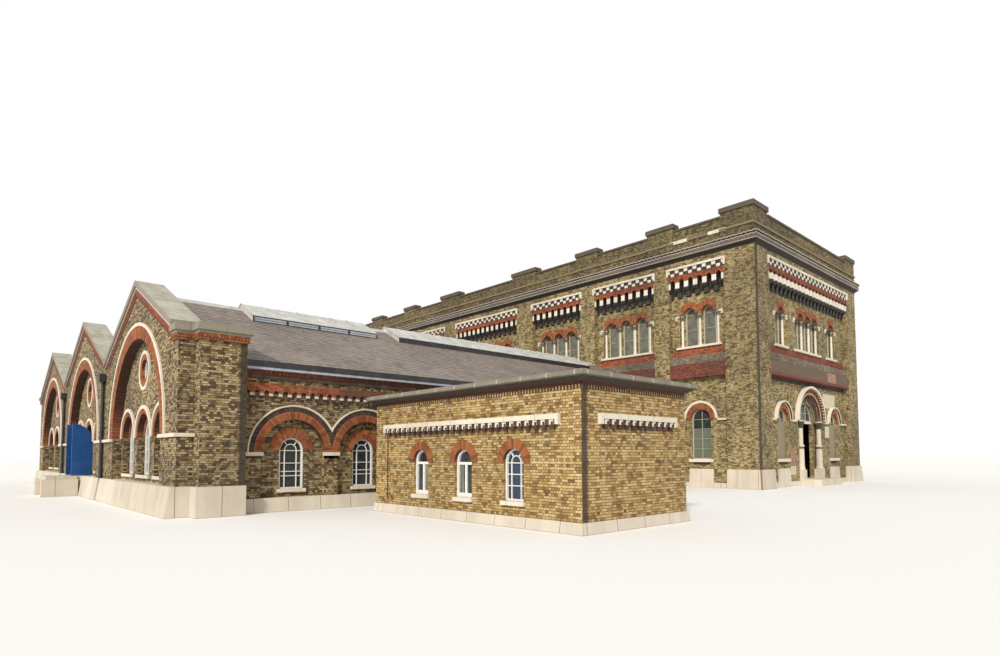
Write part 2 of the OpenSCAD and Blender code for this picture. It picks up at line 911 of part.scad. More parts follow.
// Low double slope of lead behind the parapet
module engine_roof() {
    run_half = engine_half - engine_wall;
    half = end_half - engine_wall;
    low = engine_wall_top + 300;
    high = low + 1050;
    thick = 250;
    color(lead) model() translate([0, engine_mid, 0]) for (turn = [0, 180])
        rotate([0, 0, turn]) run(-run_half, run_half)
            polygon([[-half, low], [-joint, high], [-joint, high + thick], [-half, low + thick]]);
}

module engine_floors() {
    half = engine_half - engine_wall;
    w = end_half - engine_wall;
    color(stone_grey) model() translate([0, engine_mid, 0]) {
        translate([-half, -w, landing_top - 300]) cube([2 * half, 2 * w, 300]);
        translate([-half, -w, frieze_top - 300]) cube([2 * half, 2 * w, 300]);
    }
}

// Glazed sheets set in the openings, behind the columns' order
module upper_panes(lights) {
    back = bay_recess + upper_order;
    for (x = lights)
        translate([x, 0, 0]) slab(back + 60, back + 60 + pane) light(upper_r, upper_sill, upper_spring);
}

module lower_panes(xs) {
    for (x = xs)
        translate([x, 0, 0]) slab(bay_recess + 180, bay_recess + 180 + pane)
            light(lower_r, lower_sill, lower_spring);
}

module engine_glass() {
    fanlight = bay_recess + entrance_order_depth + 180;
    color(glass_tint) model() {
        engine_south() {
            for (b = long_bays)
                upper_panes(lights_of(b));
            for (b = front_lower_bays)
                lower_panes(lower_xs(b));
        }
        engine_north() for (b = long_bays) {
            upper_panes(lights_of(b));
            lower_panes(lower_xs(b));
        }
        for (side = [0, 1])
            mirror([side, 0, 0]) engine_east() {
                for (lights = end_lights)
                    upper_panes(lights);
                lower_panes([-end_window_x, end_window_x]);
            }
        engine_east() translate([0, 0, lower_spring])
            slab(fanlight, fanlight + pane) arch_ring(0, entrance_r);
    }
}

// Entrance column: base, lower drum, ring, upper shaft and spreading capital
module entrance_column(height) {
    r = entrance_column_r;
    ring_z = 0.47 * height;
    cap_z = height - 3.4 * r;
    rotate_extrude($fn = 32) polygon([
        [0, 0], [1.6 * r, 0], [1.6 * r, 0.6 * r], [1.35 * r, 1.2 * r], [1.3 * r, ring_z - 0.8 * r],
        [1.05 * r, ring_z - 0.5 * r], [1.05 * r, ring_z - 0.2 * r], [1.5 * r, ring_z], [1.5 * r, ring_z + 0.5 * r],
        [r, ring_z + 0.8 * r], [0.95 * r, cap_z], [1.2 * r, cap_z + 0.3 * r], [1.15 * r, cap_z + 0.8 * r],
        [1.6 * r, height - 1.1 * r], [1.6 * r, height], [0, height]
    ]);
}

// Low stone landing at the entrance, with a pedestal and column at each side
module engine_landing() {
    d = bay_recess + entrance_order_depth;
    block = 500;
    x = entrance_order - joint - block / 2;
    color(stone_white) model() engine_east() {
        slab(-900, d) rect(-entrance_order + joint, 0, entrance_order - joint, landing_top);
        slab(d, engine_wall) rect(-entrance_r + joint, 0, entrance_r - joint, landing_top);
        for (s = [-1, 1])
            translate([s * x, d - joint - block / 2, 0]) {
                translate([-block / 2, -block / 2, landing_top])
                    cube([block, block, pedestal_top - landing_top]);
                translate([0, 0, pedestal_top]) entrance_column(lower_spring - pedestal_top);
            }
    }
}

// Height of a gable's wall at distance x from its centre
function rake_z(x, up) = gable_apex + up - abs(x) * gable_slope / 1000;

// Outline of a gable wall; a corner is cut down where a pier's cap runs over it
module gable_outline(up, left_end, right_end) {
    cap_x = valley - pier_cap_in;
    cap_step = [[cap_x, rake_z(cap_x, up)], [cap_x, pier_cap_z]];
    left = [
        [-left_end, gable_plinth], [-left_end, left_end > valley ? pier_cap_z : rake_z(left_end, up)],
        if (left_end > valley) each [for (i = [1, 0]) [-cap_step[i][0], cap_step[i][1]]]
    ];
    right = [
        if (right_end > valley) each cap_step,
        [right_end, right_end > valley ? pier_cap_z : rake_z(right_end, up)], [right_end, gable_plinth]
    ];
    polygon(concat(left, [[0, gable_apex + up]], right));
}

module small_arch_cut(x, sill) {
    translate([x, 0, 0]) {
        slab(-past, gable_wall + past) light(small_r - small_order, sill, string_z);
        slab(-past, panel_recess + small_order_depth) light(small_r, sill, string_z);
    }
}

module gable_body(up, left_end, right_end) {
    difference() {
        slab(0, gable_wall) gable_outline(up, left_end, right_end);
        slab(-past, panel_recess) light(great_r, gable_plinth - past, string_z);
        slab(-past, gable_wall + past) translate([0, oculus_z]) circle(oculus_r);
        children();
    }
}

corner_end = boiler_half - gable_w;

module boiler_gable_east() {
    color(stock) model() south_of(gable_w, gable_y) gable_body(0, valley, corner_end)
        for (i = [-1 : 1])
            small_arch_cut(i * small_pitch, gable_sill);
}

module boiler_gable_west() {
    color(stock) model() south_of(-gable_w, gable_y) gable_body(0, corner_end, valley)
        for (i = [-1 : 1])
            small_arch_cut(i * small_pitch, gable_sill);
}

// The middle gable, with a doorway in place of its middle window
module middle_gable() {
    gable_body(middle_gable_up, valley, valley) {
        for (s = [-1, 1])
            small_arch_cut(s * small_pitch, gable_sill);
        slab(-past, gable_wall + past) light(small_r, 0, string_z);
    }
}

module boiler_gable_middle_left() {
    color(stock) model() south_of(0, gable_y) intersection() {
        middle_gable();
        slab(-past, gable_wall + past) rect(-valley, 0, -small_r, string_z);
    }
}

module boiler_gable_middle_right() {
    color(stock) model() south_of(0, gable_y) intersection() {
        middle_gable();
        slab(-past, gable_wall + past) rect(small_r, 0, valley, string_z);
    }
}

module boiler_gable_middle_over() {
    color(stock) model() south_of(0, gable_y) difference() {
        middle_gable();
        slab(-past, gable_wall + past) rect(-valley - 1, 0, valley + 1, string_z);
    }
}

// Plan of the big pier behind the gable's end
module pier_plan(grow) {
    x_in = boiler_half - side_wall;
    polygon([
        [x_in, gable_back], [boiler_half, gable_back], [boiler_half, pier_y - grow],
        [boiler_half + pier_out + grow, pier_y - grow], [boiler_half + pier_out + grow, side_y0],
        [x_in, side_y0]
    ]);
}

// Plan of the cap that runs over the gable's end and round the pier
module cap_plan(grow) {
    x_in = gable_w + valley - pier_cap_in;
    polygon([
        [x_in, gable_y - grow], [boiler_half + grow, gable_y - grow], [boiler_half + grow, pier_y - grow],
        [boiler_half + pier_out + grow, pier_y - grow], [boiler_half + pier_out + grow, side_y0 + grow],
        [x_in, side_y0 + grow]
    ]);
}

module boiler_corner_piers() {
    color(stock) model() for (m = [0, 1])
        mirror([m, 0, 0]) translate([0, 0, gable_plinth])
            linear_extrude(pier_cap_z - gable_plinth) pier_plan(0);
}

// Height of the underside of a slate roof at a distance from its ridge
function roof_under(x) = ridge_z - x * tan(roof_pitch);

// The east side wall, with its blind arcade and its windows
module side_wall_body() {
    base = side_plinth;
    difference() {
        east_of(boiler_half, 0) run(side_y0, engine_y) polygon([
            [0, base], [side_wall, base],
            [side_wall, roof_under(boiler_half - side_wall - gable_w) - bed],
            [0, roof_under(boiler_half - gable_w) - bed]
        ]);
        for (i = [0 : arcade_count - 1])
            east_of(boiler_half, arcade_first + i * arcade_pitch) {
                slab(-past, arcade_recess) light(arcade_r, base - past, arcade_spring);
                slab(-past, side_wall + past) light(side_r, side_sill, side_spring);
            }
    }
}

module boiler_side_wall_east() {
    color(stock) model() side_wall_body();
}

module boiler_side_wall_west() {
    color(stock) model() mirror([1, 0, 0]) side_wall_body();
}

module boiler_plinth() {
    out = plinth_out;
    pipe_gap = 110;
    color(stone_white) model() for (m = [0, 1])
        mirror([m, 0, 0]) {
            south_of(0, gable_y) {
                run(small_r, valley - pipe_gap) plinth_section(out, gable_wall, gable_plinth);
                run(valley + pipe_gap, boiler_half) plinth_section(out, gable_wall, gable_plinth);
                slab(joint, gable_wall)
                    rect(valley - pipe_gap + joint, 0, valley + pipe_gap - joint, gable_plinth);
            }
            linear_extrude(gable_plinth) intersection() {
                translate([joint, joint]) pier_plan(100);
                translate([0, gable_y]) square([2 * boiler_half, side_y0 - gable_y]);
            }
            east_of(boiler_half, 0) run(side_y0 + 2 * joint, engine_y)
                plinth_section(160, side_wall, side_plinth);
        }
}

// Brick rings of one gable: the great arch, the small arches with the inner orders of
// those that hold windows, and the round window
module gable_rings(windows) {
    back = panel_recess + small_order_depth;
    translate([0, 0, string_z]) {
        slab(-20, 0) arch_ring(great_r, great_ring);
        for (i = [-1 : 1])
            translate([i * small_pitch, 0, 0])
                slab(panel_recess - 30, panel_recess) arch_ring(small_r, small_ring);
        for (i = windows)
            translate([i * small_pitch, 0, 0])
                slab(back - 60, back) arch_ring(small_r - small_order, small_r - joint);
    }
    translate([0, 0, oculus_z]) slab(panel_recess - 40, panel_recess) difference() {
        circle(oculus_ring);
        circle(oculus_r);
    }
}

function gable_windows(i) = i == 1 ? [-1, 1] : [-1, 0, 1];

// A strip that follows the rake of a gable, from height z0 to z1 above its wall
module rake_strip(up, x_end, z0, z1) {
    polygon([
        [joint, rake_z(joint, up) + z0], [x_end, rake_z(x_end, up) + z0],
        [x_end, rake_z(x_end, up) + z1], [joint, rake_z(joint, up) + z1]
    ]);
}

// Two stepped brick courses under the raking coping
module rake_band(up) {
    x_end = valley - pier_cap_in;
    for (m = [0, 1])
        mirror([m, 0, 0]) {
            slab(-60, 0) rake_strip(up, x_end, -rake_courses / 2, 0);
            slab(-30, 0) rake_strip(up, x_end, -rake_courses, -rake_courses / 3);
        }
}

// A course of the corner pier's cap, from height z0 to z1 above its underside
module cap_course(z0, z1, out) {
    translate([0, 0, pier_cap_z + z0]) linear_extrude(z1 - z0) cap_plan(out);
}

module boiler_brick_arches() {
    color(brick_red) model() {
        for (i = [0 : 2])
            south_of(gable_x[i], gable_y) {
                gable_rings(gable_windows(i));
                rake_band(i == 1 ? middle_gable_up : 0);
            }
        for (m = [0, 1])
            mirror([m, 0, 0]) {
                for (i = [0 : arcade_count - 1])
                    east_of(boiler_half, arcade_first + i * arcade_pitch) {
                        translate([0, 0, arcade_spring]) slab(-20, 0) arch_ring(arcade_r, arcade_ring);
                        translate([0, 0, side_spring])
                            slab(arcade_recess - 30, arcade_recess) arch_ring(side_r, side_ring);
                    }
                cap_course(0, pier_cap_brick / 2, 30);
                cap_course(pier_cap_brick / 2, pier_cap_brick, 60);
            }
    }
}

// Stone of one gable: hoods of the arches, the round window's ring and the strings
module gable_stones(windows) {
    string_out = 100;
    pipe_room = 90;
    sill_h = 120;
    translate([0, 0, string_z]) {
        slab(-60, 0) arch_ring(great_ring, great_hood);
        for (i = [-1 : 1])
            translate([i * small_pitch, 0, 0])
                slab(panel_recess - 80, panel_recess) arch_ring(small_ring, small_hood);
    }
    translate([0, 0, oculus_z]) slab(panel_recess - 70, panel_recess) difference() {
        circle(oculus_hood);
        circle(oculus_ring);
    }
    for (s = [0, 1])
        mirror([s, 0, 0]) slab(-string_out, 0)
            rect(great_r, string_z - sill_h, valley - pipe_room, string_z);
    for (i = windows)
        slab(panel_recess - 60, panel_recess) translate([i * small_pitch, 0])
            rect(-small_r, gable_sill - sill_h, small_r, gable_sill);
}

// The string on the outer end of the gables, returned along their side to the pier
module string_return() {
    out = 100;
    x0 = gable_w + valley - 90 + joint;
    translate([0, 0, string_z - 120]) linear_extrude(120) difference() {
        rect(x0, gable_y - out, boiler_half + out, pier_y);
        rect(x0 - 1, gable_y, boiler_half, pier_y + 1);
    }
}

module boiler_stone_strings() {
    step = (engine_y - side_y0) / eaves_arch_count;
    stone = 0.18 * step;
    stone_z = eaves_arches - 190;
    color(stone_white) model() {
        for (i = [0 : 2])
            south_of(gable_x[i], gable_y) gable_stones(gable_windows(i));
        for (m = [0, 1])
            mirror([m, 0, 0]) {
                string_return();
                for (i = [0 : arcade_count])
                    east_of(boiler_half, arcade_first + (i - 0.5) * arcade_pitch)
                        slab(-80, 0) rect(-340, arcade_spring - 130, 340, arcade_spring);
                for (i = [0 : arcade_count - 1])
                    east_of(boiler_half, arcade_first + i * arcade_pitch) {
                        translate([0, 0, arcade_spring]) slab(-60, 0) arch_ring(arcade_ring, arcade_hood);
                        slab(arcade_recess - 90, arcade_recess)
                            rect(-side_r - 80, side_sill - 120, side_r + 80, side_sill);
                    }
                for (i = [1 : eaves_arch_count - 1])
                    east_of(boiler_half, side_y0 + i * step)
                        slab(-90, 0) rect(-stone, stone_z, stone, eaves_arches);
            }
    }
}

// Raking coping in two steps, the upper one standing further out
module rake_coping_pair(up) {
    for (m = [0, 1])
        mirror([m, 0, 0]) {
            slab(-60, gable_wall + 60) rake_strip(up, valley - joint, bed, rake_coping / 2);
            slab(-120, gable_wall + 120) rake_strip(up, valley - joint, rake_coping / 3, rake_coping);
        }
}

module boiler_rake_copings() {
    cap_h = pier_cap_top - pier_cap_z;
    color(stone_white) model() {
        for (i = [0 : 2])
            south_of(gable_x[i], gable_y) difference() {
                rake_coping_pair(i == 1 ? middle_gable_up : 0);
                if (i != 1)
                    mirror([1 - i / 2, 0, 0]) slab(-past - 120, gable_wall + 120 + past)
                        rect(valley - pier_cap_in - joint, eaves_z, valley + 1, gable_apex);
            }
        for (m = [0, 1])
            mirror([m, 0, 0]) {
                cap_course(pier_cap_brick, pier_cap_brick + 90, 100);
                cap_course(pier_cap_brick + 90, cap_h - 60, 160);
                cap_course(cap_h - 60, cap_h, 110);
            }
    }
}

// Row of little brick arches under the eaves of a side wall, and the course over them
module side_arcade() {
    n = eaves_arch_count;
    step = (engine_y - side_y0) / n;
    east_of(boiler_half, side_y0) {
        slab(-110, 0) difference() {
            rect(0, eaves_arches, n * step, eaves_arches_top);
            for (i = [0 : n - 1])
                translate([(i + 0.5) * step, eaves_arches]) circle(step * 0.3, $fn = 16);
        }
        slab(-60, 0) rect(0, eaves_course, n * step, eaves_z - 130 - joint);
    }
}

module boiler_corbel_arches() {
    color(brick_red) model() for (m = [0, 1])
        mirror([m, 0, 0]) side_arcade();
}

module boiler_gutters() {
    color(iron_black) model() for (m = [0, 1])
        mirror([m, 0, 0]) east_of(boiler_half, 0) run(side_y0 + 200, engine_y)
            polygon([[-230, eaves_z - 130], [0, eaves_z - 130], [0, eaves_z], [-230, eaves_z]]);
}

// One slope of a slate roof, from just beside its ridge down to a valley or eaves
module roof_slope(far) {
    translate([0, engine_y, 0]) rotate([90, 0, 0]) linear_extrude(engine_y - gable_back) polygon([
        [joint, roof_under(joint)], [far, roof_under(far)],
        [far, roof_under(far) + roof_t], [joint, roof_under(joint) + roof_t]
    ]);
}

module boiler_roof() {
    eaves_x = boiler_half - gable_w;
    color(slate) model() difference() {
        for (i = [0 : 2])
            translate([gable_x[i], 0, 0]) {
                roof_slope(i == 2 ? eaves_x : valley - joint);
                mirror([1, 0, 0]) roof_slope(i == 0 ? eaves_x : valley - joint);
            }
        for (m = [0, 1])
            mirror([m, 0, 0]) linear_extrude(ridge_z) pier_plan(0);
    }
}

// Raised ventilator astride a ridge, from y0 to y1
module ridge_vent(y0, y1) {
    low = roof_under(vent_half) + roof_t + bed;
    high = roof_under(joint) + roof_t + bed;
    for (m = [0, 1])
        mirror([m, 0, 0]) translate([0, y1, 0]) rotate([90, 0, 0]) linear_extrude(y1 - y0) polygon([
            [joint, high], [vent_half, low], [vent_half, low + vent_up], [joint, high + vent_up]
        ]);
}

module boiler_ridge_vents() {
    color(lead) model() for (x = gable_x)
        translate([x, 0, 0]) {
            ridge_vent(-2100, 3900);
            ridge_vent(5200, 20300);
        }
}

module boiler_floor() {
    half = boiler_half - side_wall;
    color(stone_grey) model() translate([-half, gable_back, 460])
        cube([2 * half, engine_y - gable_back, 300]);
}

module boiler_glass() {
    color(glass_tint) model() {
        for (g = [0 : 2])
            south_of(gable_x[g], gable_y) {
                for (i = gable_windows(g))
                    translate([i * small_pitch, 0, 0]) slab(panel_recess + 300, panel_recess + 300 + pane)
                        light(small_r - small_order, gable_sill, string_z);
                translate([0, 0, oculus_z]) slab(panel_recess + 150, panel_recess + 150 + pane)
                    circle(oculus_r);
            }
        for (m = [0, 1])
            mirror([m, 0, 0]) for (i = [0 : arcade_count - 1])
                east_of(boiler_half, arcade_first + i * arcade_pitch)
                    slab(arcade_recess + 120, arcade_recess + 120 + pane)
                        light(side_r, side_sill, side_spring);
    }
}

module boiler_downpipes() {
    z_top = 5400;
    color(iron_black) model() for (s = [-1, 1])
        translate([s * valley, gable_y - 100, 0]) {
            cylinder(h = z_top, r = 75, $fn = 24);
            translate([0, 0, z_top]) translate([-200, -180, 0]) cube([400, 280, 360]);
        }
}

// Hinge pins stand just in front of the panel, inside the jambs
panel_y = gable_y + panel_recess;
pin_x = small_r - pin_in;
pin_r = 12;

pin_heights = [threshold_z + 260, string_z - 300];
eye_r = 22;
eye_h = 60;
strap_len = 640;
strap_t = 8;

// Bare body of one closed leaf with its quarter-round head, on the right-hand jamb
module leaf_board() {
    r = small_r - leaf_gap;
    south_of(0, panel_y) slab(20, 20 + leaf_t) intersection() {
        light(r, threshold_z + leaf_gap, string_z);
        rect(leaf_gap * 0.75, 0, r, string_z + r);
    }
}

// The leaf with its two iron straps, whose eyes turn on the hinge pins
module closed_leaf() {
    difference() {
        union() {
            leaf_board();
            for (z = pin_heights) {
                translate([pin_x, panel_y, z + joint]) cylinder(h = eye_h, r = eye_r);
                translate([pin_x - strap_len, panel_y + 20 - strap_t, z + joint])
                    cube([strap_len, strap_t, eye_h]);
            }
        }
        for (z = pin_heights)
            translate([pin_x, panel_y, z - past]) cylinder(h = eye_h + 2 * past, r = pin_r + 0.1);
    }
}

// The right-hand leaf turned about its hinge pin
module leaf(angle) {
    translate([pin_x, panel_y, 0]) rotate([0, 0, angle])
        translate([-pin_x, -panel_y, 0]) closed_leaf();
}

module door_right() {
    color(door_blue) model() leaf(leaf_open);
}

module door_left() {
    color(door_blue) model() mirror([1, 0, 0]) leaf(leaf_open);
}

module door_pins() {
    color(iron_black) model() for (m = [0, 1])
        mirror([m, 0, 0]) for (z = pin_heights)
            translate([pin_x, panel_y, z]) {
                cylinder(h = eye_h + 20, r = pin_r);
                translate([-pin_r, -pin_r, -20]) cube([pin_in + pin_r, 2 * pin_r, 20]);
            }
}

// Landing, two steps and low side walls in front of the boiler house door
module door_steps() {
    front = gable_y - plinth_out;
    color(stone_white) model() {
        translate([-1050, front - 1300, 0]) cube([2100, 1300 - joint, threshold_z]);
        translate([-small_r + joint, front - past, 0])
            cube([2 * (small_r - joint), past + plinth_out + gable_wall, threshold_z]);
        for (s = [-1, 1])
            translate([s * 1230 - 170, front - 1500, 0]) cube([340, 1500 - joint, threshold_z - 150]);
    }
}

module annex_south() { south_of(annex_mid, 0) children(); }

annex_half = annex_len / 2;
annex_windows = [-annex_pitch, 0, annex_pitch];
annex_window_shift = 100;
annex_panel = [-annex_half + 740, annex_half - 800];

module annex_front_wall() {
    color(stock) model() annex_south() difference() {
        slab(0, annex_wall) rect(-annex_half, annex_plinth, annex_half, annex_cornice_z);
        slab(-past, annex_recess)
            rect(annex_panel[0], annex_plinth - past, annex_panel[1], annex_corbel_z - 10);
        for (x = annex_windows)
            translate([x + annex_window_shift, 0, 0])
                slab(-past, annex_wall + past) light(annex_r, annex_sill, annex_spring);
    }
}

module annex_side_walls() {
    inner = annex_w / 2 - annex_wall;
    color(stock) model() {
        east_of(annex_x, annex_w / 2)
            slab(0, annex_wall) rect(-inner, annex_plinth, inner, annex_cornice_z);
        west_of(annex_x - annex_len, annex_w / 2)
            slab(0, annex_wall) rect(-inner, annex_plinth, inner, annex_cornice_z);
    }
}

module annex_back_wall() {
    color(stock) model() north_of(annex_mid, annex_w)
        slab(0, annex_wall) rect(-annex_half, annex_plinth, annex_half, annex_cornice_z);
}

module annex_plinth_stones() {
    out = 90;
    inset = annex_wall + joint;
    color(stone_white) model() {
        annex_south() mitred(annex_len, annex_wall, out, 0, annex_plinth)
            run(-annex_half - out, annex_half + out) plinth_section(out, annex_wall, annex_plinth);
        north_of(annex_mid, annex_w) mitred(annex_len, annex_wall, out, 0, annex_plinth)
            run(-annex_half - out, annex_half + out) plinth_section(out, annex_wall, annex_plinth);
        east_of(annex_x, annex_w / 2) mitred(annex_w, annex_wall, out, 0, annex_plinth)
            run(-annex_w, annex_w) plinth_section(out, annex_wall, annex_plinth);
        west_of(annex_x - annex_len, annex_w / 2) mitred(annex_w, annex_wall, out, 0, annex_plinth)
            run(-annex_w, annex_w) plinth_section(out, annex_wall, annex_plinth);
        translate([annex_x - annex_len + inset, inset, 0])
            cube([annex_len - 2 * inset, annex_w - 2 * inset, annex_plinth - 100]);
    }
}

module annex_brick_arches() {
    color(brick_red) model() annex_south() for (x = annex_windows)
        translate([x + annex_window_shift, 0, annex_spring])
            slab(annex_recess - 30, annex_recess) arch_ring(annex_r, annex_ring);
}

// White band, turned down at its ends, with a row of small corbels below it
module annex_corbels(x0, x1, n) {
    step = (x1 - x0) / n;
    end = 110;
    slab(-120, 0) difference() {
        rect(x0 - end, annex_corbel_z, x1 + end, annex_band_top);
        rect(x0, annex_corbel_z - 1, x1, annex_band);
    }
    for (i = [0 : n - 1])
        slab(-90, 0) rect(x0 + (i + 0.25) * step, annex_corbel_z, x0 + (i + 0.75) * step, annex_band);
}

module annex_stone_bands() {
    color(stone_white) model() {
        annex_south() {
            annex_corbels(annex_panel[0], annex_panel[1], 27);
            for (x = annex_windows)
                slab(-40, annex_recess) translate([x + annex_window_shift, 0])
                    rect(-annex_r - 60, annex_sill - 120, annex_r + 60, annex_sill);
        }
        east_of(annex_x, annex_w / 2) annex_corbels(760 - annex_w / 2, annex_w / 2 - 720, 11);
    }
}

// A layer of the annex's roof and coping, from height z0 to z1 above the walls
module annex_layer(out, z0, z1) {
    translate([annex_x - annex_len - out, -out, annex_cornice_z + z0])
        cube([annex_len + 2 * out, annex_w + 2 * out, z1 - z0]);
}

// Flat roof whose edge is a moulded coping in steps
module annex_roof() {
    out = annex_coping_out;
    h = annex_top - annex_cornice_z;
    color(stone_grey) model() {
        annex_layer(0.35 * out, 0, 50);
        annex_layer(0.7 * out, 50, 95);
        annex_layer(out, 95, h - 30);
        annex_layer(0.8 * out, h - 30, h);
    }
}

module annex_glass() {
    color(glass_tint) model() annex_south() for (x = annex_windows)
        translate([x + annex_window_shift, 0, 0]) slab(200, 200 + pane)
            light(annex_r, annex_sill, annex_spring);
}

engine_front_wall();
engine_back_wall();
engine_east_wall_left();
engine_east_wall_right();
engine_east_wall_over();
engine_west_wall();
engine_plinth();
engine_brick_arches();
engine_stone_strings();
engine_storey_bands();
engine_columns();
engine_corbel_arches();
engine_corbels();
engine_cornice();
engine_parapet();
engine_coping();
engine_roof();
engine_floors();
engine_glass();
engine_landing();
boiler_gable_east();
boiler_gable_west();
boiler_gable_middle_left();
boiler_gable_middle_right();
boiler_gable_middle_over();
boiler_corner_piers();
boiler_side_wall_east();
boiler_side_wall_west();
boiler_plinth();
boiler_brick_arches();
boiler_stone_strings();
boiler_rake_copings();
boiler_corbel_arches();
boiler_gutters();
boiler_roof();
boiler_ridge_vents();
boiler_floor();
boiler_glass();
boiler_downpipes();
door_left();
door_right();
door_pins();
door_steps();
annex_front_wall();
annex_side_walls();
annex_back_wall();
annex_plinth_stones();
annex_brick_arches();
annex_stone_bands();
annex_roof();
annex_glass();
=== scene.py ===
import random
from fnmatch import filter as matching
from math import cos, radians, sin, tan

import bpy
from mathutils import Matrix, Vector


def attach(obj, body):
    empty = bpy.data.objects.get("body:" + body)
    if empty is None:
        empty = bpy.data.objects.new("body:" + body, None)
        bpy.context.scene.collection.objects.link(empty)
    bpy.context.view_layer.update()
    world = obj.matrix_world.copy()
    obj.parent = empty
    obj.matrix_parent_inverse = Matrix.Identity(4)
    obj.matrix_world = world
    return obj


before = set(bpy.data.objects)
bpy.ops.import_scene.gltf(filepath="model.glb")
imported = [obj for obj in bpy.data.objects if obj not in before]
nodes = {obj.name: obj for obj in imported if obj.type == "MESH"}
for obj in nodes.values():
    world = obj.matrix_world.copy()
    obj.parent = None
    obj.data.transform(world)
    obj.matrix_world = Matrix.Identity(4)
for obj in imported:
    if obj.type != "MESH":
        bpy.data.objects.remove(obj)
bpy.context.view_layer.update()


# Camera, at the photograph's place and angle
middle_x, middle_y = 2790, 15600  # of the real complex; the model has its origin there
per_metre = 2000  # millimetres of the real building to a metre of the half-size model


def at(x, y, z):
    """A point in millimetres of the real building, as metres of the half-size model."""
    return ((x - middle_x) / per_metre, (y - middle_y) / per_metre, z / per_metre)


turn, tilt, roll = 47.292, 93.075, -0.181
camera = bpy.data.objects.new("camera", bpy.data.cameras.new("camera"))
bpy.context.scene.collection.objects.link(camera)
camera.matrix_world = (
    Matrix.Translation(at(38727, -11832, 1990))
    @ Matrix.Rotation(radians(turn), 4, "Z")
    @ Matrix.Rotation(radians(tilt), 4, "X")
    @ Matrix.Rotation(radians(roll), 4, "Z")
)
camera.data.sensor_width = 36
camera.data.lens = 22.081
camera.data.shift_y = 0.09414
camera.data.clip_end = 500
bpy.context.scene.camera = camera


# Studio: a pale floor, soft light from all round and one broad lamp high behind the camera
def fill(node, inputs):
    """Gives a node its inputs: a socket is linked, and any other value is set."""
    for key, value in inputs.items():
        if isinstance(value, bpy.types.NodeSocket):
            node.id_data.links.new(value, node.inputs[key])
        else:
            node.inputs[key].default_value = value
    return node


def add(tree, kind, inputs=None, **props):
    """A shader node with its settings made and its inputs filled."""
    made = tree.nodes.new("ShaderNode" + kind)
    for name, value in props.items():
        setattr(made, name, value)
    return fill(made, inputs or {})


def follow(kind, inputs, **props):
    """A shader node in the tree of the first socket among its inputs; gives its outputs."""
    tree = next(value.id_data for value in inputs.values() if isinstance(value, bpy.types.NodeSocket))
    return add(tree, kind, inputs, **props).outputs


def maths(operation, a, b=0.0, clamp=False):
    return follow("Math", {0: a, 1: b}, operation=operation, use_clamp=clamp)[0]


def times(a, b, clamp=False):
    return maths("MULTIPLY", a, b, clamp)


def over(value, limit):
    return maths("GREATER_THAN", value, limit)


def spread(value, low, high, to_low=0.0, to_high=1.0):
    """A value between low and high, carried over to the second range."""
    return follow("MapRange", {0: value, 1: low, 2: high, 3: to_low, 4: to_high})[0]


def new_material(name):
    """A material with its tree and its shader."""
    made = bpy.data.materials.new(name)
    made.use_nodes = True
    return made, made.node_tree, made.node_tree.nodes["Principled BSDF"]


def finish(shader, colour, roughness, normal=None):
    fill(shader, {"Base Color": colour, "Roughness": roughness})
    if normal:
        fill(shader, {"Normal": normal})


soft_light, white = 0.62, 1.0
world = bpy.data.worlds.new("studio")
world.use_nodes = True
bpy.context.scene.world = world
tree = world.node_tree
path = add(tree, "LightPath").outputs
seen = maths("ADD", path["Is Camera Ray"], path["Is Glossy Ray"])
seen = maths("ADD", seen, path["Is Transmission Ray"], True)
strength = spread(seen, 0.0, 1.0, soft_light, white)
fill(tree.nodes["Background"], {"Color": (1, 1, 1, 1), "Strength": strength})

light_way = Vector((-0.43, 0.74, -0.52))
sun = bpy.data.objects.new("sun", bpy.data.lights.new("sun", "SUN"))
sun.data.energy = 3.0
sun.data.angle = radians(6)
sun.data.color = (1, 0.95, 0.87)
sun.rotation_euler = light_way.to_track_quat("-Z", "Y").to_euler()
bpy.context.scene.collection.objects.link(sun)
bpy.context.scene.view_settings.view_transform = "Standard"

bpy.ops.mesh.primitive_plane_add(size=400)
floor = bpy.context.object
floor.name = "floor"
paper, tree, shader = new_material("paper")
finish(shader, (0.88, 0.88, 0.87, 1), 0.95)
floor.data.materials.append(paper)


# Walls of stock brick
# Yellow stock bricks in English bond, 76 mm to the course, mottled yellow, brown and grey and
# darkened by soot. They are the walls of all three buildings, laid in grey lime mortar.
def mix(factor, a, b):
    """Two colours mixed; each is a socket or three numbers."""
    a, b = (c if isinstance(c, bpy.types.NodeSocket) else (*c, 1) for c in (a, b))
    return follow("Mix", {0: factor, 6: a, 7: b}, data_type="RGBA")[2]


def tint(colour, mask, share, shade):
    """A colour turned towards a shade by a share, where the mask is full."""
    return mix(times(mask, share), colour, shade)


def ramp(value, stops):
    made = add(value.id_data, "ValToRGB", {0: value})
    while len(made.color_ramp.elements) < len(stops):
        made.color_ramp.elements.new(0.5)
    for element, (place, colour) in zip(made.color_ramp.elements, stops):
        element.position = place
        element.color = (*colour, 1)
    return made.outputs[0]


def noise(vector, scale, detail, rough):
    inputs = {"Vector": vector, "Scale": scale, "Detail": detail, "Roughness": rough}
    return follow("TexNoise", inputs)[0]


def relief(height, strength, distance):
    return follow("Bump", {"Strength": strength, "Distance": distance, "Height": height})[0]


def block_pattern(vector, length, height, joint, soft, **bond):
    """Blocks in courses: Color is the tone of each block, and Fac is the joints."""
    inputs = {
        "Vector": vector, "Color1": (0, 0, 0, 1), "Color2": (1, 1, 1, 1), "Mortar": (0.5, 0.5, 0.5, 1),
        "Scale": 1.0, "Brick Width": length, "Row Height": height, "Mortar Size": joint,
        "Mortar Smooth": soft,
    }
    return follow("TexBrick", inputs, offset=0.5, **bond)


